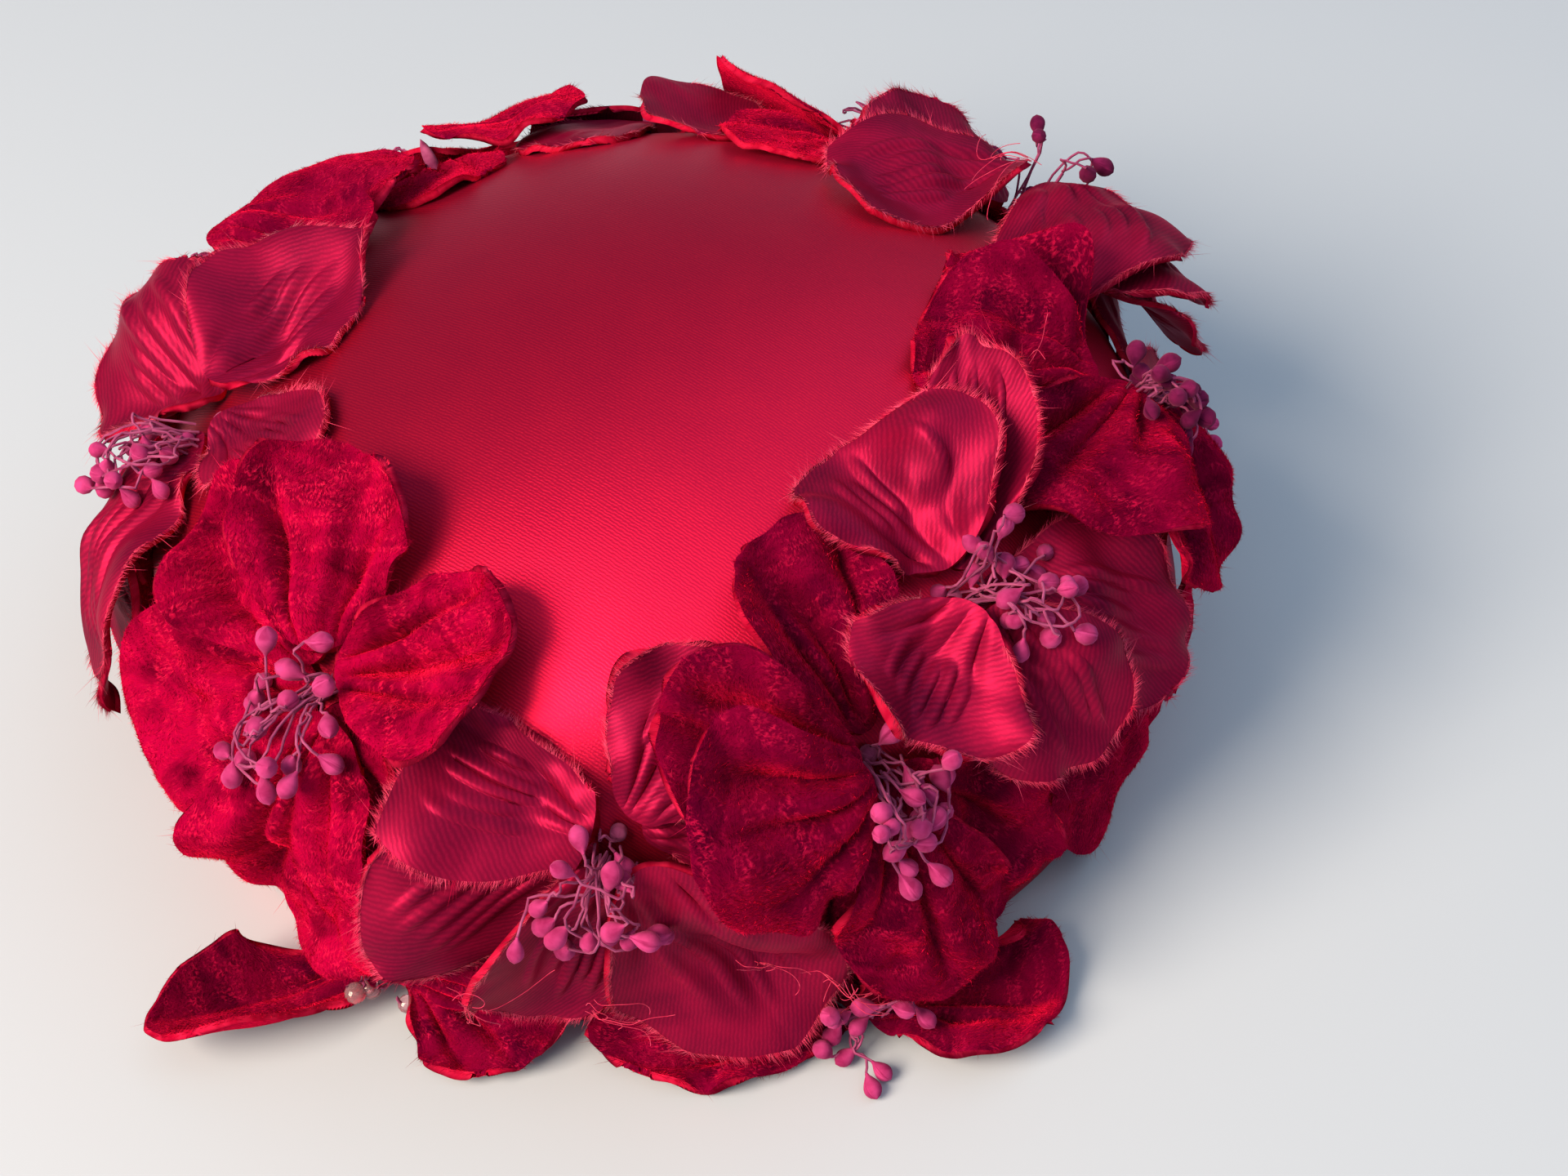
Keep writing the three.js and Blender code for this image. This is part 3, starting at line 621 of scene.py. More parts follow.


# %% [markdown]
# ## Frayed threads, dipped pips and glue
#
# Cut cloth frays into short bright threads, because loose fibre shows more light than woven
# cloth. The pips are cotton buds dipped in matt paint, so they have no gloss and vary a little in
# tone. The bunches at the right and back get darker pips, as painted shade. Their stems are
# stiffened thread. Dull finishes like these differ only in two tones, the size of their patches
# and a little sheen, so one function makes them all. Hot glue is a clear and very smooth plastic
# that picks up some dye.


# %% Small materials
def matt(name, first, second, patch, rough, sheen):
    """A dull finish that drifts between two tones in patches of a size in mm."""
    made, cloth = start_cloth(name)
    drift = put(made, "TexNoise", {"Scale": 1 / patch, "Detail": 3.0}, {"Vector": cloth})
    spread = put(made, "MapRange", {"From Min": 0.35, "From Max": 0.65},
                 {"Value": drift.outputs["Fac"]})
    tone = put(made, "Mix", {"data_type": "RGBA", 6: linear(first), 7: linear(second)},
               {0: spread})
    relief = put(made, "Bump", {"Strength": 0.25, "Distance": 0.0002},
                 {"Height": drift.outputs["Fac"]})
    surface = put(made, "BsdfPrincipled",
                  {"Roughness": rough, "Specular IOR Level": 0.0, "Sheen Weight": sheen,
                   "Sheen Tint": linear("#FF90B0")},
                  {"Base Color": tone.outputs[2], "Normal": relief})
    return finish_material(made, surface)


frayed_thread = matt("frayed_rayon_thread", "#B40A3A", "#E84C72", patch=1.5, rough=0.6, sheen=0.3)
# The cut edge is lighter than its cloth: painted light that shines through and bounces onto the
# rims.
cut_edge_painted_light = matt("cut_edge_with_painted_light", "#A0062C", "#C81C44", patch=2.0, rough=0.85, sheen=0.0)
dipped_pip = matt("dipped_cotton_pip", "#8C2254", "#BE407E", patch=3.0, rough=0.75, sheen=0.2)
# Darker pips for the bunches at the right and back: painted shade.
shaded_pip = matt("dipped_pip_painted_shade", "#440C2E", "#741C4C", patch=3.0, rough=0.75, sheen=0.2)
stem_thread = matt("stiffened_stem_thread", "#782C54", "#AC5480", patch=3.0, rough=0.6, sheen=0.3)
buckram = matt("dyed_buckram", "#4A0614", "#6A0A1E", patch=1.2, rough=0.9, sheen=0.1)
glue = start_material("clear_hot_glue")
glue = finish_material(glue, put(glue, "BsdfPrincipled", {
    "Base Color": linear("#FFD2E0"), "Roughness": 0.06, "IOR": 1.48, "Transmission Weight": 0.85}))

# %% [markdown]
# ## Joining parts into one mesh
#
# A petal is a slab of cloth with hundreds of loose threads on it. Each thread as its own object
# would swamp the scene, so every piece is one mesh, joined from parts that each bring their
# points, faces, material and a flat map in millimetres for the weave to follow.


# %% One object from many parts
LOWEST = 0.02  # mm above the table, for any point


def make_piece(name, parts, materials, slot, *nodes):
    """Join parts of (points, faces, material number, map, shading) into one object.

    Shading is a direction for each point, or zero where the mesh's own direction will do.
    """
    faces, numbers, start = [], [], 0
    for points, part_faces, number, *_ in parts:
        faces += (np.asarray(part_faces) + start).tolist()
        numbers += [number] * len(part_faces)
        start += len(points)
    points = np.concatenate([part[0] for part in parts])
    points[:, 2] = np.maximum(points[:, 2], LOWEST)
    mesh = bpy.data.meshes.new(name)
    mesh.from_pydata((points * MM).tolist(), [], faces)
    mesh.polygons.foreach_set("material_index", numbers)
    mesh.polygons.foreach_set("use_smooth", [True] * len(faces))
    flat = np.concatenate([part[3] for part in parts])
    corners = np.empty(len(mesh.loops), np.int32)
    mesh.loops.foreach_get("vertex_index", corners)
    cloth_map = mesh.uv_layers.new(name="cloth").data
    cloth_map.foreach_set("uv", flat[corners].astype(np.float32).ravel())
    for material in materials:
        mesh.materials.append(material)
    mesh.update()
    shading = [part[4] if len(part) > 4 else 0 * part[0] for part in parts]
    mesh.normals_split_custom_set_from_vertices(np.concatenate(shading).tolist())
    piece = bpy.data.objects.new(name, mesh)
    bpy.context.scene.collection.objects.link(piece)
    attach(piece, "root")
    if nodes:
        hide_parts(*nodes)
    return piece


def grid_faces(columns, rows, closed=False):
    """Quads between points in rows; closed joins each row's last point to its first."""
    index = np.arange(rows * columns).reshape(rows, columns)
    if closed:
        index = np.concatenate([index, index[:, :1]], axis=1)
    quads = np.stack([index[:-1, :-1], index[:-1, 1:], index[1:, 1:], index[1:, :-1]], axis=-1)
    return quads.reshape(-1, 4)


# %% [markdown]
# ## The crown
#
# A milliner steams the satin over stiffened buckram, so the crown is smooth with only the
# faintest unevenness, and its edge is turned in by hand. The side view gives the profile, swept
# round in fine steps: out over the top, round the turned edge and up the inside, which is bare
# buckram.

# %% Crown profile
PROFILE_STEPS, EDGE_STEPS, CROWN_TURNS = 72, 5, 150
TUCK = 8  # mm of cloth over which the side turns in to the edge
half_wall = CROWN_WALL / 2
down = np.linspace(0, CROWN_LENGTH, PROFILE_STEPS)
tuck = half_wall * smooth(down, CROWN_LENGTH - TUCK, CROWN_LENGTH)
r, z, slope = along(crown_side, down)
outside = np.stack([r, z + tuck, down])
inside = np.stack([np.maximum(r - CROWN_WALL * np.sin(slope), 0),
                   z + tuck - CROWN_WALL * np.cos(slope) * (r < r[-1] - 0.01),
                   2 * CROWN_LENGTH - down])
turn = np.linspace(0, math.pi, EDGE_STEPS + 2)[1:-1]
edge = np.stack([r[-1] - half_wall + half_wall * np.cos(turn),
                 half_wall - half_wall * np.sin(turn), CROWN_LENGTH + half_wall * turn])
profile = np.concatenate([outside, edge, inside[:, ::-1]], axis=1)
print("crown profile:", profile.shape[1], "stations")

# %% Crown cover
UNEVEN = 0.2  # mm that the cloth strays from the lathe's shape
WELDED = 0.00001  # metres between points that become one
angle = np.radians(np.arange(CROWN_TURNS) * 360 / CROWN_TURNS)
r, z, down = (row[:, None] + 0 * angle for row in profile)
slow = np.sin(2 * angle + 0.6) * np.sin(down / 31)
slow = slow + 0.6 * np.sin(3 * angle - 1.1) * np.cos(down / 23)
r = r + UNEVEN * slow * smooth(down, 5, 40) * smooth(r, 0, 20) * (down < CROWN_LENGTH - 2)
points = np.stack([HAT_X + r * np.sin(angle), HAT_Y - r * np.cos(angle), z], axis=-1)
points = points.reshape(-1, 3)
flat = np.stack([down * np.sin(angle), -down * np.cos(angle)], axis=-1).reshape(-1, 2)
faces = grid_faces(CROWN_TURNS, profile.shape[1], closed=True)
lined = len(faces) - CROWN_TURNS * (PROFILE_STEPS - 2)
cover = [(points, faces[:lined], 0, flat), (points, faces[lined:], 1, flat)]
crown = make_piece("crown_cover", cover, [crown_satin, buckram], "crown_satin", "crown")
welded = bmesh.new()
welded.from_mesh(crown.data)
bmesh.ops.remove_doubles(welded, verts=welded.verts, dist=WELDED)
welded.to_mesh(crown.data)
welded.free()
print("crown cover:", len(crown.data.polygons), "faces")

# %% [markdown]
# ## A petal of two layers
#
# A millinery petal is two layers of cloth glued together and pressed, so its edge shows two lines
# with a groove between. Folding a real sheet would need a simulation for each, so the petal is a
# fine grid instead: the coarse rows give its rest, a smooth curve runs through them, and relief
# is added along the normal. Satin gets the mould's sharp veins and a hollow under them. Velvet
# gets a few deep creases that fan out from the middle, because pile hides anything sharper. Both
# get a rim that rolls up or down, and each petal is then laid on the finer maps, so that no fold
# cuts into the cloth below it.


# %% A smooth curve through a few even knots
def knot_weights(knots, places):
    """How much each knot counts at places from 0 to 1, as a Catmull-Rom curve."""
    at = np.clip(places, 0, 1) * (knots - 1)
    first = np.minimum(np.floor(at).astype(int), knots - 2)
    t = at - first
    shares = [-t + 2 * t**2 - t**3, 2 - 5 * t**2 + 3 * t**3, t + 4 * t**2 - 3 * t**3, t**3 - t**2]
    weights = np.zeros((len(places), knots + 2))
    for k, share in enumerate(shares):
        weights[np.arange(len(places)), first + k] += share / 2
    weights[:, 1] += 2 * weights[:, 0]
    weights[:, 2] -= weights[:, 0]
    weights[:, -2] += 2 * weights[:, -1]
    weights[:, -3] -= weights[:, -1]
    return weights[:, 1:-1]


def even_to_edge(count):
    """Steps from -1 to 1 that are closer together towards both ends."""
    even = np.linspace(-1, 1, count + 1)
    return 0.6 * even + 0.4 * np.sin(even * math.pi / 2)


# %% Relief, in mm along the cloth's normal
VEINS, VEIN_HEIGHT = 5, 1.5
VEIN_APART, VEIN_WIDTH = 0.21, 0.05  # shares of the petal's half width
CREASES = 3
SATIN_RUFFLE, VELVET_RUFFLE = 0.9, 1.3  # mm that the rim goes up and down
VELVET_RISES = 1.8  # mm that a velvet petal stands up between its creases


def pressed_veins(chance, x, share):
    """Ridges the mould pressed in, side by side from the petal's middle towards its tip."""
    relief, lean = 0, chance.uniform(-0.3, 0.3)
    for k in range(VEINS):
        at = (k - (VEINS - 1) / 2) * VEIN_APART + chance.uniform(-0.03, 0.03)
        starts, ends = chance.uniform(0.25, 0.42), chance.uniform(0.72, 0.92)
        middle = at * (1.3 - 0.7 * share) + lean * (share - 0.5) + 0.05 * np.sin(5 * share + k)
        away = (x - middle) / VEIN_WIDTH
        fade = smooth(share, starts, starts + 0.15) * (1 - smooth(share, ends - 0.15, ends))
        relief = relief + VEIN_HEIGHT * chance.uniform(0.55, 1) * fade * np.exp(-away * away)
    return relief


def creases(chance, x, share, depth, reach):
    """Valleys that fan out from the gathered root and fade along the petal."""
    fan = x / (0.4 + 0.6 * share)
    relief = 0
    for k in range(CREASES):
        at = (k + 0.5 + chance.uniform(-0.3, 0.3)) * 2 / CREASES - 1
        ends = reach * chance.uniform(0.65, 1.2)
        away = (fan - at - chance.uniform(-0.3, 0.3) * share) / chance.uniform(0.11, 0.24)
        fade = 1 - smooth(share, 0.4 * ends, ends)
        relief = relief - depth * chance.uniform(0.3, 1) * fade * np.exp(-away * away)
    return relief


def rolled_rim(chance, x, share, height):
    """A rim that rolls up or down, differently on each side and at the tip."""
    left, right, tip = chance.uniform(-0.7, 1, 3) * height
    both = left * smooth(-x, 0.4, 1) + right * smooth(x, 0.4, 1)
    return both * smooth(share, 0.15, 0.5) + tip * smooth(share, 0.65, 1)


def waves(chance, x, y, size, height):
    """Gentle unevenness of a size in mm."""
    relief = 0
    for _ in range(5):
        way, phase = chance.uniform(0, math.pi), chance.uniform(0, 6.3)
        reach = 2 * math.pi / size * chance.uniform(0.7, 1.5)
        relief = relief + np.sin((x * math.cos(way) + y * math.sin(way)) * reach + phase)
    return relief * height / 2


def relief_of(cloth, chance, x, share, across_mm, along_mm, turn, rim):
    """All the relief of a satin or a velvet petal, before it is limited."""
    around = waves(chance, 12 * np.cos(turn), 12 * np.sin(turn), size=10, height=1.0)
    if cloth == "satin":
        bowl = np.exp(-((x / 0.55) ** 2)) * smooth(share, 0.1, 0.45) * (1 - smooth(share, 0.6, 1))
        relief = pressed_veins(chance, x, share)
        relief = relief + creases(chance, x, share, depth=1.8, reach=0.6)
        relief = relief + rolled_rim(chance, x, share, height=2.8) - chance.uniform(1, 2.4) * bowl
        relief = relief + waves(chance, across_mm, along_mm, size=17, height=0.7)
        return relief + SATIN_RUFFLE * rim * around
    relief = creases(chance, x, share, depth=6.0, reach=1.15)
    relief = relief + rolled_rim(chance, x, share, height=4.2) + VELVET_RISES
    relief = relief + waves(chance, across_mm, along_mm, size=15, height=1.2)
    relief = relief + waves(chance, across_mm, along_mm, size=5, height=0.12)
    return relief + VELVET_RUFFLE * rim * around


# %% Lay the dressed petals on finer maps
FINER = 2
HALF_PETAL = 0.5  # mm from the middle surface to either face
FULLER_CUP, BOAT_CUP = 1.3, 2.4  # the loose petal on the table is rolled like a boat
BOAT_FROM = 3  # mm of cup from which a petal is that one
SETTLE, CLEAR = 0.9, 0.1  # mm lower than the coarse rest, and mm clear of what lies below
FADE = 3  # points of the cloth over which a raised place fades out
MOST_RELIEF = 5.5  # mm, approached softly, so that no corner stands up in a spike
PLAINER = 0.32  # share of the relief that the boat and the flowers out of sight keep
dressed = empty_maps(FINER)


def settled(flower, azimuth, down, height):
    """Heights raised softly where the cloth would cut into what lies below it."""
    near = merged(dressed[side_of(flower)], np.max, reach=1)
    under = height_on(near, azimuth, down)
    short = np.maximum(under + HALF_PETAL + CLEAR - height, 0)
    lift = merged(merged(short, np.max, FADE, "edge"), np.mean, FADE, "edge")
    height = height + lift
    lay(dressed, flower, np.stack([azimuth, down, height], axis=-1), HALF_PETAL)
    return height


# %% Middle surface of a petal
RUFFLE = 0.06  # share of the half width that the cut wanders


def petal_surface(petal, chance, across, lengthwise):
    """Points, normals and flat map of a petal's middle surface, as grids."""
    flower = flowers[petal["flower"]]
    a, b = even_to_edge(across), even_to_edge(lengthwise)
    rows, columns = petal["rests"].shape
    rests = knot_weights(rows, (b + 1) / 2) @ petal["rests"] @ knot_weights(columns, (a + 1) / 2).T
    a, b = np.meshgrid(a, b)
    turn, rim = np.arctan2(b, a), np.maximum(np.abs(a), np.abs(b)) ** 6
    wander = sum(np.sin(k * turn + chance.uniform(0, 6.3)) / k for k in (2, 3, 5, 8, 13))
    wander = 1 + RUFFLE * wander * rim * smooth(b, -0.9, -0.3)
    fuller = dict(petal, cup=petal["cup"] * (BOAT_CUP if petal["cup"] > BOAT_FROM else FULLER_CUP))
    azimuth, down, up = petal_places(fuller, a * wander, b * wander)
    x, share, across_mm, along_mm = petal_outline(petal, a, b)
    relief = relief_of(flower["cloth"], chance, x, share, across_mm, along_mm, turn, rim)
    relief = MOST_RELIEF * np.tanh(relief / MOST_RELIEF)
    relief *= PLAINER if flower["build"] == "whole" or petal["cup"] > BOAT_FROM else 1
    height = rests + up - SETTLE + relief * smooth(share, 0, 0.2)
    height = settled(flower, azimuth, down, height)
    side = sides[side_of(flower)]
    points = place(side, azimuth, down, height)
    out = place(side, azimuth, down, height + 1) - points
    points[..., 2] = np.maximum(points[..., 2], HALF_PETAL)
    normals = np.cross(np.gradient(points, axis=1), np.gradient(points, axis=0))
    normals = unit(normals)
    normals *= np.where((normals * out).sum(axis=-1, keepdims=True) < 0, -1, 1)
    shift = chance.uniform(-300, 300, 2)
    return points, normals, np.stack([across_mm, along_mm], axis=-1) + shift


# %% Its two faces and grooved edge
CLOTH, EDGE, FIBRES = 0, 1, 2  # places of the three materials in a petal
GROOVE = 0.5  # mm that the groove goes in between the two layers


def border(grid):
    """A grid's border points in order, once round."""
    return np.concatenate([grid[0, :-1], grid[:-1, -1], grid[-1, :0:-1], grid[:0:-1, 0]])


def outwards(points):
    """Unit directions out of the cloth's edge at each border point."""
    inner = points[2:-2, 2:-2]
    near = np.pad(inner, ((2, 2), (2, 2), (0, 0)), mode="edge")
    return unit(border(points - near))


def petal_body(points, normals, flat, chance):
    """Upper layer, a plainer lower one, and the groove where their edges part."""
    rows, columns = points.shape[:2]
    upper, lower = points + normals * HALF_PETAL, points - normals * HALF_PETAL
    plainer = lower[::2, ::2]
    out, up = outwards(points), border(normals)
    count = len(out)
    shows = np.abs(waves(chance, np.arange(count), 0, size=count / 4, height=1))[:, None]
    under = border(lower) + out * (0.05 + 0.35 * shows) - up * 0.3 * shows
    loops = [border(upper), border(points) - out * GROOVE, under, border(lower)]
    return [
        (upper.reshape(-1, 3), grid_faces(columns, rows), CLOTH, flat.reshape(-1, 2)),
        (plainer.reshape(-1, 3), grid_faces(*plainer.shape[1::-1])[:, ::-1], CLOTH,
         flat[::2, ::2].reshape(-1, 2)),
        (np.concatenate(loops), grid_faces(count, len(loops), closed=True), EDGE,
         np.tile(border(flat), (len(loops), 1))),
    ]


# %% [markdown]
# ## Frayed edges and pile
#
# Satin cut across its threads frays into a fringe one or two millimetres long, and velvet's pile
# stands about one millimetre high. Blender's own hair would not travel with an exported model, so
# each fibre is one thin triangle that belongs to the petal's mesh. They are drawn five times as
# thick as real fibres, which are a fiftieth of a millimetre and would not show.


# %% Fibres
FIBRE_WIDTH = 0.1  # mm
SATIN_FRINGE, VELVET_FRINGE = 17, 10  # fibres in a mm of edge
PILE = 8  # fibres in a square mm
SATIN_HAIR, VELVET_HAIR, PILE_HAIR = 1.6, 1.1, 0.75  # mm long
ROOTED, VELVET_RISE = 0.55, 0.2  # mm in from the edge, and up from the middle, that they start
STRAYS, STRAY_LENGTH = 0.03, 2.6  # share that hang out of the edge, and how much longer they are
UNEVEN_SHADE = 0.15  # how far a fibre's shade strays from its cloth's


def fibres(feet, ways, up, flat, chance):
    """One thin triangle for each foot, shaded like the cloth it stands on."""
    wide = unit(np.cross(ways, chance.normal(size=ways.shape))) * FIBRE_WIDTH / 2
    wide *= np.where((np.cross(wide, ways) * up).sum(axis=-1, keepdims=True) < 0, -1, 1)
    points = np.stack([feet - wide, feet + wide, feet + ways], axis=1).reshape(-1, 3)
    shading = unit(up + chance.normal(0, UNEVEN_SHADE, up.shape))
    faces = np.arange(len(points)).reshape(-1, 3)
    return points, faces, FIBRES, np.repeat(flat, 3, axis=0), np.repeat(shading, 3, axis=0)


def fringe(points, normals, flat, chance, per_mm, length, rise):
    """Fibres along a petal's cut edge but not its root, a rise above its middle surface."""
    loop, up, out, place_on = border(points), border(normals), outwards(points), border(flat)
    following = np.roll(loop, -1, axis=0)
    steps = np.linalg.norm(following - loop, axis=-1)
    root = points.shape[1] - 1
    steps[:root] = 0
    picked = chance.choice(len(loop), int(steps.sum() * per_mm), p=steps / steps.sum())
    share = chance.uniform(0, 1, (len(picked), 1))
    along_edge = (following - loop)[picked]
    feet = loop[picked] + along_edge * share - out[picked] * ROOTED + up[picked] * rise
    reach = length * chance.uniform(0.5, 1.15, (len(picked), 1))
    reach *= np.where(chance.uniform(0, 1, reach.shape) < STRAYS, STRAY_LENGTH, 1)
    sway = chance.normal(0, 0.25, (len(picked), 3))
    ways = (out[picked] + up[picked] * chance.normal(0.15, 0.3, (len(picked), 1)) + sway) * reach
    return fibres(feet, ways, up[picked], place_on[picked], chance)


def pile(points, normals, flat, chance, per_mm2, length):
    """Fibres all over a velvet petal's upper face, leaning in patches."""
    corners = [points[:-1, :-1], points[:-1, 1:], points[1:, :-1]]
    area = np.cross(corners[1] - corners[0], corners[2] - corners[0])
    area = np.linalg.norm(area, axis=-1).ravel()
    picked = chance.choice(len(area), int(area.sum() * per_mm2), p=area / area.sum())
    row, column = np.divmod(picked, points.shape[1] - 1)
    s, t = chance.uniform(0, 1, (2, len(picked), 1))

    def at(grid):
        upper = grid[row, column] * (1 - s) + grid[row, column + 1] * s
        lower = grid[row + 1, column] * (1 - s) + grid[row + 1, column + 1] * s
        return upper * (1 - t) + lower * t

    feet, up, mm = at(points), at(normals), at(flat)
    swirl = (np.sin(mm[:, :1] * 0.5) + np.cos(mm[:, 1:] * 0.4)) * 1.6
    lean = np.cos(swirl) * (points[row + 1, column] - points[row, column])
    lean = lean + np.sin(swirl) * (points[row, column + 1] - points[row, column])
    ways = up * 0.5 + unit(lean) * 0.9 + chance.normal(0, 0.25, feet.shape)
    ways *= length * chance.uniform(0.5, 1.2, (len(picked), 1))
    return fibres(feet + up * HALF_PETAL, ways, up, mm, chance)


# %% Every part of a petal
SATIN_SKIN = [petal_satin, cut_edge_painted_light, frayed_thread]
VELVET_SKIN = [petal_velvet, cut_edge_painted_light, pile_painted_sheen]
DEEP_SKIN = [deep_velvet, cut_edge_painted_light, deep_pile_painted_sheen]
# Flowers with the deeper velvet: partly a deeper dye lot and partly painted shade.
DEEPER_DYE_AND_SHADE = (4, 6, 8, 10, 11, 12, 13, 14)


def petal_parts(petal, seed, across, lengthwise, detail):
    """A dressed petal; detail is the share of the full number of fibres."""
    chance = np.random.default_rng(seed)
    surface = petal_surface(petal, chance, across, lengthwise)
    parts = petal_body(*surface, chance)
    if flowers[petal["flower"]]["cloth"] == "satin":
        return [*parts, fringe(*surface, chance, SATIN_FRINGE * detail, SATIN_HAIR, HALF_PETAL)]
    return [*parts, fringe(*surface, chance, VELVET_FRINGE * detail, VELVET_HAIR, VELVET_RISE),
            pile(*surface, chance, PILE * detail, PILE_HAIR)]


# %% [markdown]
# ## Stamens
#
# The stamens are bought by the bunch: stiffened threads with a dipped pip on each, folded in half
# and bound in the flower's middle. Each stem is a tube along a bowed line, with a ring of points
# at every step, and its pip a short lathe shape on the same line. A sunflower's spiral spreads
# them evenly without two in one place.

# %% Sizes of a stamen
GOLDEN = 137.508  # degrees from one stamen to the next
STEM_WIDTH, PIP_WIDTH, PIP_LENGTH = 0.48, 3.2, 4.8
STEM_STEPS, STEM_SIDES = 12, 5
PIP_STEPS, PIP_SIDES = 10, 10
KNOT_WIDTH, KNOT_SIDES = 2.6, 14
KNOT_TAPER = [1, 1, 1, 1, 0.98, 0.85, 0.55, 0.02]  # shares of its width, from foot to top
STEM, PIP = 0, 1  # places of the two materials in a bunch
STARTS_LEANING = 0.35  # share of a flower's lean at which its stems come up between the petals
TIERS = 4  # mm from the lowest stamens of a bunch to the highest
LOW_BUNCH = 0.35  # share of that rise in the flowers seen less well


# %% Rings swept along a line
NEVER_ALONG = [0.13, 0.29, 0.95]  # no stem or thread runs quite this way


def swept(line, radii, count, number, shift):
    """A round tube through points, with a radius at each."""
    line, radii = np.asarray(line, float), np.asarray(radii, float)
    way = unit(np.gradient(line, axis=0))
    first = unit(np.cross(way, NEVER_ALONG))
    second = np.cross(way, first)
    turn = np.arange(count) * 2 * math.pi / count
    ring = first[:, None] * np.cos(turn)[:, None] + second[:, None] * np.sin(turn)[:, None]
    points = (line[:, None] + ring * radii[:, None, None]).reshape(-1, 3)
    far = np.concatenate([[0], np.cumsum(np.linalg.norm(np.diff(line, axis=0), axis=-1))])
    flat = np.stack([np.repeat(far, count), np.tile(turn, len(line))], axis=-1) + shift
    return points, grid_faces(count, len(line), closed=True), number, flat


# %% One stamen
def wandering(chance, count, size):
    """A soft random path that starts and ends at nothing."""
    path = np.convolve(chance.normal(0, size, count + 2), [0.3, 0.4, 0.3], "valid")
    return path * np.sin(math.pi * np.linspace(0, 1, count)) ** 0.6


def soften(path, times):
    """Draw each inner step of a path towards the steps beside it."""
    for _ in range(times):
        path[1:-1] = (path[:-2] + 2 * path[1:-1] + path[2:]) / 4


def stamen(flower, near, top, k, chance):
    """A stem and its pip, clear of the petals under them; the first ones stand highest."""
    side = sides[side_of(flower)]
    turn = math.radians(k * GOLDEN) + chance.normal(0, 0.3)
    out = flower["spread"] * math.sqrt((k + 0.3) / flower["pips"])
    out *= chance.uniform(0.8, 1.15)
    share = np.linspace(0, 1, STEM_STEPS)
    starts, lean = chance.normal(0, 1.6, 2), chance.uniform(0.5, 1)
    starts += np.array([flower["lean_right"], flower["lean_down"]]) * STARTS_LEANING
    right = starts[0] * (1 - share) + (flower["lean_right"] * lean + out * math.sin(turn)) * share
    down = starts[1] * (1 - share) + (flower["lean_down"] * lean + out * math.cos(turn)) * share
    bow = chance.normal(0, 0.35) * np.sin(math.pi * share)
    right, down = right + down * bow, down - right * bow
    right = right + wandering(chance, STEM_STEPS, 0.9)
    down = down + wandering(chance, STEM_STEPS, 0.9)
    down = flower["down"] + down
    azimuth = beside(side, flower["azimuth"], right, down)
    under = height_on(near, azimuth, down)
    high = 1 if flower["build"] == "petals" else LOW_BUNCH
    tier = TIERS * high * (1 - k / flower["pips"]) * chance.uniform(0.5, 1)
    clear = under + (PIP_WIDTH / 2 + GAP + tier) * smooth(share, 0, 0.7)
    clear[0] = min(top, under[0])
    soften(clear, 3)
    clear[1:] = np.maximum(clear, under + 0.5)[1:]
    clear += high * chance.uniform(0.5, 2.8) * np.sin(math.pi * share) ** 0.8
    clear += wandering(chance, STEM_STEPS, 0.25)
    line = place(side, azimuth, down, clear)
    way = unit(unit(line[-1] - line[-3]) + chance.normal(0, 0.5, 3))
    size = chance.uniform(0.84, 1.1)
    t = np.linspace(0, 1, PIP_STEPS + 1)
    pip_line = line[-1] + way * (t * PIP_LENGTH * size)[:, None]
    swell = np.maximum(np.sin(math.pi * t**1.4), 0) ** 0.66 * PIP_WIDTH / 2 * size
    swell = np.maximum(swell, STEM_WIDTH / 2 * (1 - t))
    shift = chance.uniform(-200, 200, 2)
    stem = swept(line, np.full(STEM_STEPS, STEM_WIDTH / 2), STEM_SIDES, STEM, shift)
    return [stem, swept(pip_line, swell, PIP_SIDES, PIP, shift)]


# %% A flower's middle
def middle_parts(flower, seed):
    """The bound knot and all the stamens round it."""
    chance = np.random.default_rng(seed)
    side = sides[side_of(flower)]
    near = merged(dressed[side_of(flower)], np.max, reach=1)
    top = float(height_on(merged(near, np.mean), flower["azimuth"], flower["down"]))
    heights = np.linspace(0.5, max(top - 0.6, 1), len(KNOT_TAPER))
    azimuth = flower["azimuth"] + 0 * heights
    line = place(side, azimuth, flower["down"] + 0 * heights, heights)
    radii = KNOT_WIDTH / 2 * np.array(KNOT_TAPER)
    parts = [swept(line, radii, KNOT_SIDES, STEM, (0, 0))]
    for k in range(flower["pips"]):
        parts += stamen(flower, near, top, k, chance)
    return parts


# %% Shape every petal, lowest first
FINE = {"satin": (72, 50), "velvet": (52, 44)}
PLAIN, PLAIN_DETAIL = (24, 22), 0.5
counts = dict.fromkeys(flowers, 0)
for petal in petals:
    number = petal["flower"]
    counts[number] += 1
    petal["number"] = counts[number]
    flower = flowers[number]
    fine, detail = FINE[flower["cloth"]], 1
    if flower["build"] == "whole":
        fine, detail = PLAIN, PLAIN_DETAIL
    petal["parts"] = petal_parts(petal, number * 100 + petal["number"], *fine, detail)
print("highest dressed cloth off the crown, mm:", round(float(dressed["crown"].max()), 1))


# %% Make the pieces
# Flowers whose pips are darker, as painted shade.
SHADED_PIPS = (6, 7, 8, 9, 10, 11)


def names(number, part):
    """The name of a flower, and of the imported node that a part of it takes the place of."""
    name = f"flower_{number:02d}"
    return name, f"{name}_{part}" if flowers[number]["build"] == "petals" else name


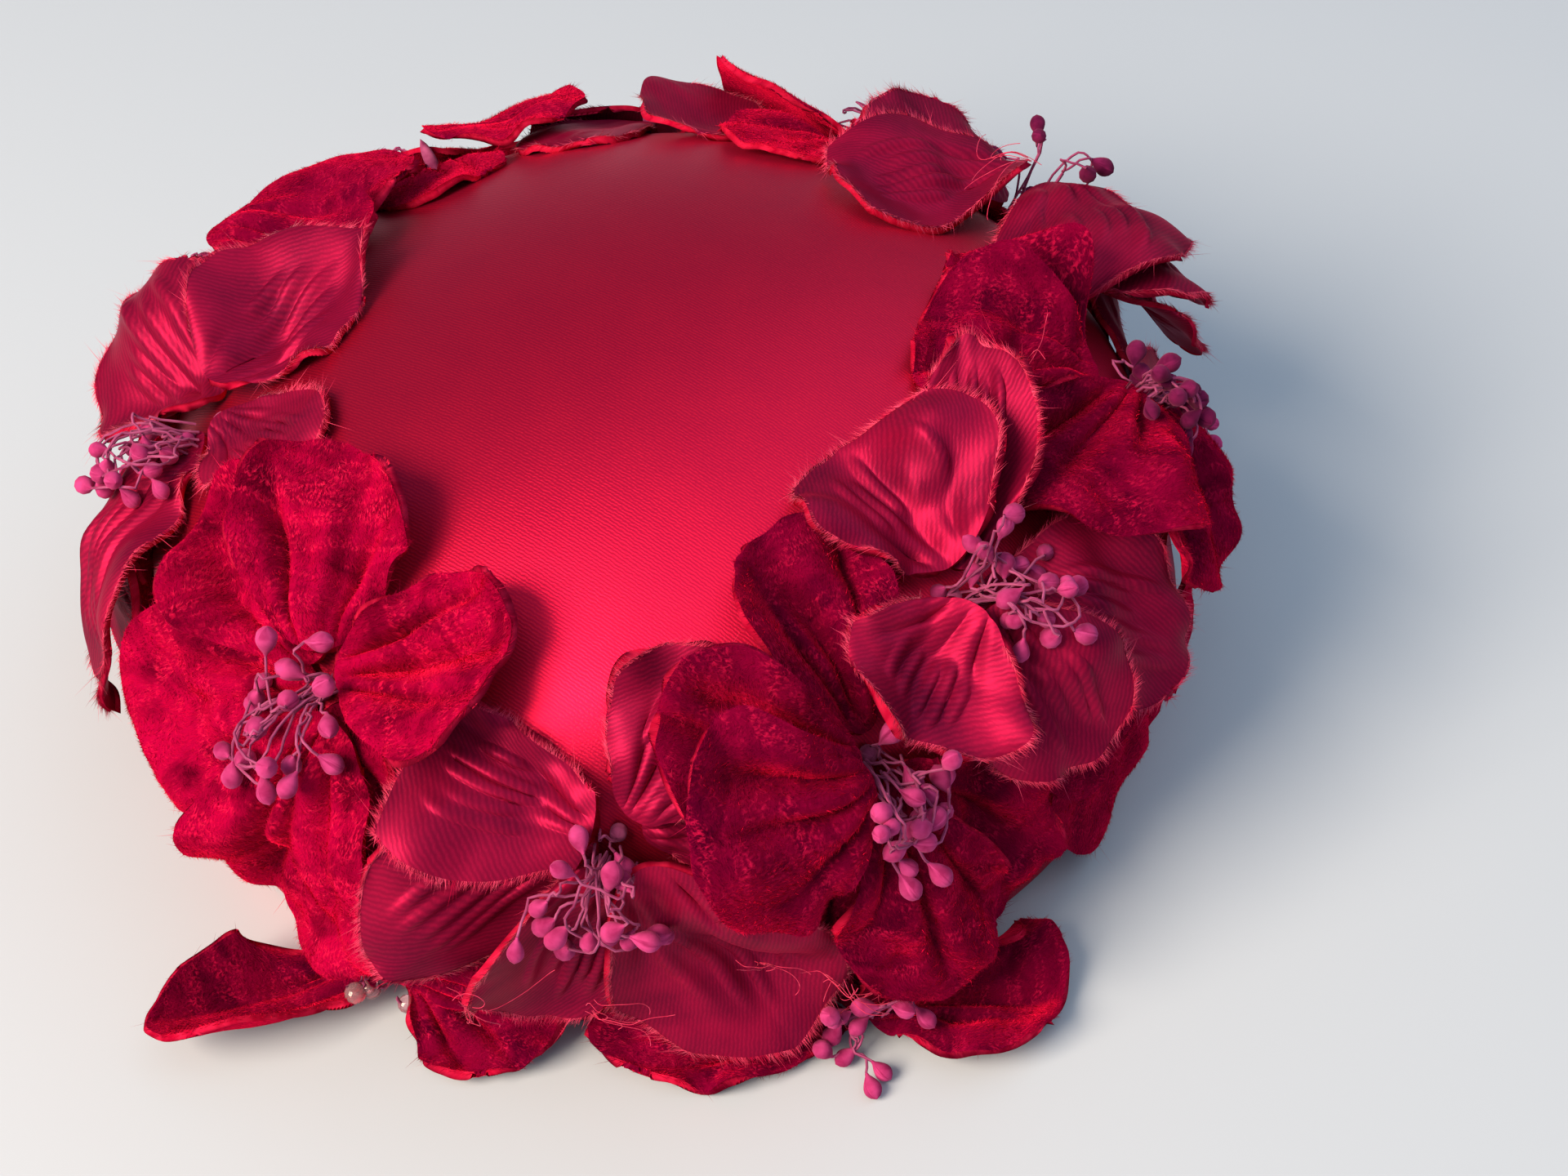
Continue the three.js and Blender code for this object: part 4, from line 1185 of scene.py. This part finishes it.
made_faces = 0
for petal in petals:
    cloth = flowers[petal["flower"]]["cloth"]
    name, node = names(petal["flower"], f"petal_{petal['number']}")
    skin = SATIN_SKIN if cloth == "satin" else VELVET_SKIN
    skin = DEEP_SKIN if petal["flower"] in DEEPER_DYE_AND_SHADE else skin
    piece = make_piece(f"{name}_dressed_{petal['number']}", petal["parts"], skin,
                       "petal_" + cloth, node)
    made_faces += len(piece.data.polygons)
for number, flower in flowers.items():
    name, node = names(number, "stamens")
    pip = shaded_pip if number in SHADED_PIPS else dipped_pip
    piece = make_piece(f"{name}_middle", middle_parts(flower, number * 100),
                       [stem_thread, pip], "stamens", node)
    made_faces += len(piece.data.polygons)
print("flowers dressed:", made_faces, "faces")

# %% [markdown]
# ## Glue and loose threads
#
# One flower at the foot has lost its stamens, and a few stubs still stand in the clear glue that
# held them. Glue sets in rounded blobs, so flattened balls are enough. Loose hairs of satin also
# spray out where a cut corner has frayed. Each is a thin tube along a path that turns a little at
# every step, which bends like a real thread, while a drawn curve tends to look too tidy.

# %% Glue and stubs on the bare flower
BLOBS, STUBS, GLUE_SEED = 9, 9, 1300
BLOB_RINGS, BLOB_SIDES, FLATNESS = 9, 12, 0.6
STUB_RADII, STUB_SIDES = [0.3, 0.3, 0.28, 0.3, 0.1], 6
ASIDE, BELOW = -3, 8  # mm; the glue has run clear of the petals above


def blob(middle, radius, shift):
    """A ball of glue, flattened the way the crown's foot faces."""
    t = np.linspace(0.02, math.pi - 0.02, BLOB_RINGS)
    line = middle + np.outer(-np.cos(t) * radius * FLATNESS, [0.1, -0.45, 0.89])
    return swept(line, radius * np.sin(t), BLOB_SIDES, 0, shift)


bare = flowers[13]
chance = np.random.default_rng(GLUE_SEED)
at, down = chance.normal(0, 2.6, (2, BLOBS + STUBS))
azimuth = beside(foot_side, bare["azimuth"], at + ASIDE, bare["down"])
down = bare["down"] + BELOW + down
foot = place(foot_side, azimuth, down, height_on(dressed["foot"], azimuth, down) + 0.3)
blobs = [blob(foot[k], chance.uniform(1.1, 2), k) for k in range(BLOBS)]
make_piece("flower_13_glue", blobs, [glue], "stamens")
stubs = []
for k in range(BLOBS, BLOBS + STUBS):
    way = unit(chance.normal(0, 1, 3) + [0, -0.8, 1.6]) * chance.uniform(2.5, 4.5)
    line = foot[k] + np.outer(np.linspace(0, 1, len(STUB_RADII)), way)
    line = line + chance.normal(0, 0.15, line.shape)
    stubs.append(swept(line, STUB_RADII, STUB_SIDES, STEM, k))
make_piece("flower_13_stubs", stubs, [stem_thread], "stamens")
print("glued middle:", len(blobs), "blobs and", len(stubs), "stubs")

# %% Loose threads
THREAD_COLUMNS = "side azimuth down towards length".split()
THREAD_ROWS = [
    ("crown", -15, 117, 150, 16),
    ("crown", -7, 128, 110, 14),
    ("crown", 9, 124, 60, 12),
    ("crown", 16, 120, 200, 12),
    ("foot", 20, 138, -130, 14),
    ("crown", 70, 66, 40, 14),
    ("crown", 118, 76, 20, 14),
]
HAIRS, THREAD_SEED = 6, 7000
THREAD_STEPS, THREAD_SIDES, THREAD_RADIUS = 18, 4, 0.065
for k, row in enumerate(THREAD_ROWS, 1):
    thread = dict(zip(THREAD_COLUMNS, row))
    chance = np.random.default_rng(THREAD_SEED + k)
    side, near = sides[thread["side"]], merged(dressed[thread["side"]], np.max)
    tubes = []
    for _ in range(HAIRS):
        turning = np.cumsum(chance.normal(0, 0.05, THREAD_STEPS)) + chance.normal(0, 0.04)
        heading = math.radians(thread["towards"]) + chance.normal(0, 0.5) + np.cumsum(turning)
        reach = thread["length"] * chance.uniform(0.4, 1) / THREAD_STEPS
        right = np.cumsum(np.sin(heading)) * reach + chance.normal(0, 1)
        down = thread["down"] - np.cumsum(np.cos(heading)) * reach + chance.normal(0, 1)
        azimuth = beside(side, thread["azimuth"], right, down)
        lift = 0.4 + 1.6 * np.linspace(0, 1, THREAD_STEPS) * chance.uniform(0, 1)
        line = place(side, azimuth, down, height_on(near, azimuth, down) + lift)
        soften(line, 2)
        tubes.append(swept(line, np.full(THREAD_STEPS, THREAD_RADIUS), THREAD_SIDES, 0, k))
    make_piece(f"loose_threads_{k}", tubes, [frayed_thread], "petal_satin")
print(len(THREAD_ROWS), "sprays of loose threads")

# %% [markdown]
# ## Table, light and camera
#
# The hat stands on a plain pale surface. Late daylight comes from a window on the left, warm and
# soft. Three large area lights stand for it: the window itself, a weaker one high in front that
# gives the satin its glowing sweep, and a cool one for the sky on the right. A pale blue world
# fills the shadows. The camera looks down at 45 degrees from the front with a slight roll.

# %% Table
TABLE_SIZE, TABLE_DROP = 8, 0.0004  # metres; the drop keeps it clear of the crown's edge
bpy.ops.mesh.primitive_plane_add(size=TABLE_SIZE, location=(0, 0, -TABLE_DROP))
table = bpy.context.object
table.name = "table"
pale = start_material("pale_table")
grain = put(pale, "TexNoise", {"Scale": 3.0, "Detail": 3.0})
tone = put(pale, "Mix", {"data_type": "RGBA", 6: linear("#B5C2CD"), 7: linear("#BFCCD7")},
           {0: grain.outputs["Fac"]})
surface = put(pale, "BsdfPrincipled", {"Roughness": 0.9, "Specular IOR Level": 0.1},
              {"Base Color": tone.outputs[2]})
table.data.materials.append(finish_material(pale, surface))


# %% Lights
def area_light(name, azimuth, elevation, distance, size, watts, colour):
    """A square soft light aimed at the hat; azimuth 0 is the front and 90 the right."""
    light = bpy.data.lights.new(name, "AREA")
    light.size, light.energy, light.color = size, watts, linear(colour)[:3]
    lamp = bpy.data.objects.new(name, light)
    around, above = math.radians(azimuth), math.radians(elevation)
    lamp.location = (distance * math.cos(above) * math.sin(around),
                     -distance * math.cos(above) * math.cos(around), distance * math.sin(above))
    lamp.rotation_euler = (-lamp.location).to_track_quat("-Z", "Y").to_euler()
    bpy.context.scene.collection.objects.link(lamp)


LIGHT_COLUMNS = "name azimuth elevation distance size watts colour".split()
LIGHT_ROWS = [
    ("window", -52, 41, 1.6, 0.85, 48, "#FFE3C8"),
    ("front", -2, 67, 1.5, 1.4, 5.4, "#FFF2EC"),
    ("sky", 120, 50, 1.8, 1.8, 9, "#D6E4F2"),
]
for row in LIGHT_ROWS:
    area_light(**dict(zip(LIGHT_COLUMNS, row)))
world = bpy.data.worlds.new("soft_room")
bpy.context.scene.world = world
world.use_nodes = True
room = world.node_tree.nodes["Background"].inputs
room["Color"].default_value, room["Strength"].default_value = linear("#C2DEFC"), 0.31
bpy.context.scene.view_settings.view_transform = "Standard"

# %% Camera
EYE, LOOKS_AT = Vector((0.022, -0.2988, 0.312)), Vector((0.022, -0.0118, 0.025))
ROLL, LENS, SENSOR, NEAREST = 3, 52, 36, 0.01  # degrees, two in mm, metres
lens = bpy.data.cameras.new("camera")
lens.lens, lens.sensor_width, lens.clip_start = LENS, SENSOR, NEAREST
camera = bpy.data.objects.new("camera", lens)
turned = (LOOKS_AT - EYE).to_track_quat("-Z", "Y").to_matrix() @ Matrix.Rotation(
    math.radians(-ROLL), 3, "Z")
camera.location, camera.rotation_euler = EYE, turned.to_euler()
bpy.context.scene.collection.objects.link(camera)
bpy.context.scene.camera = camera
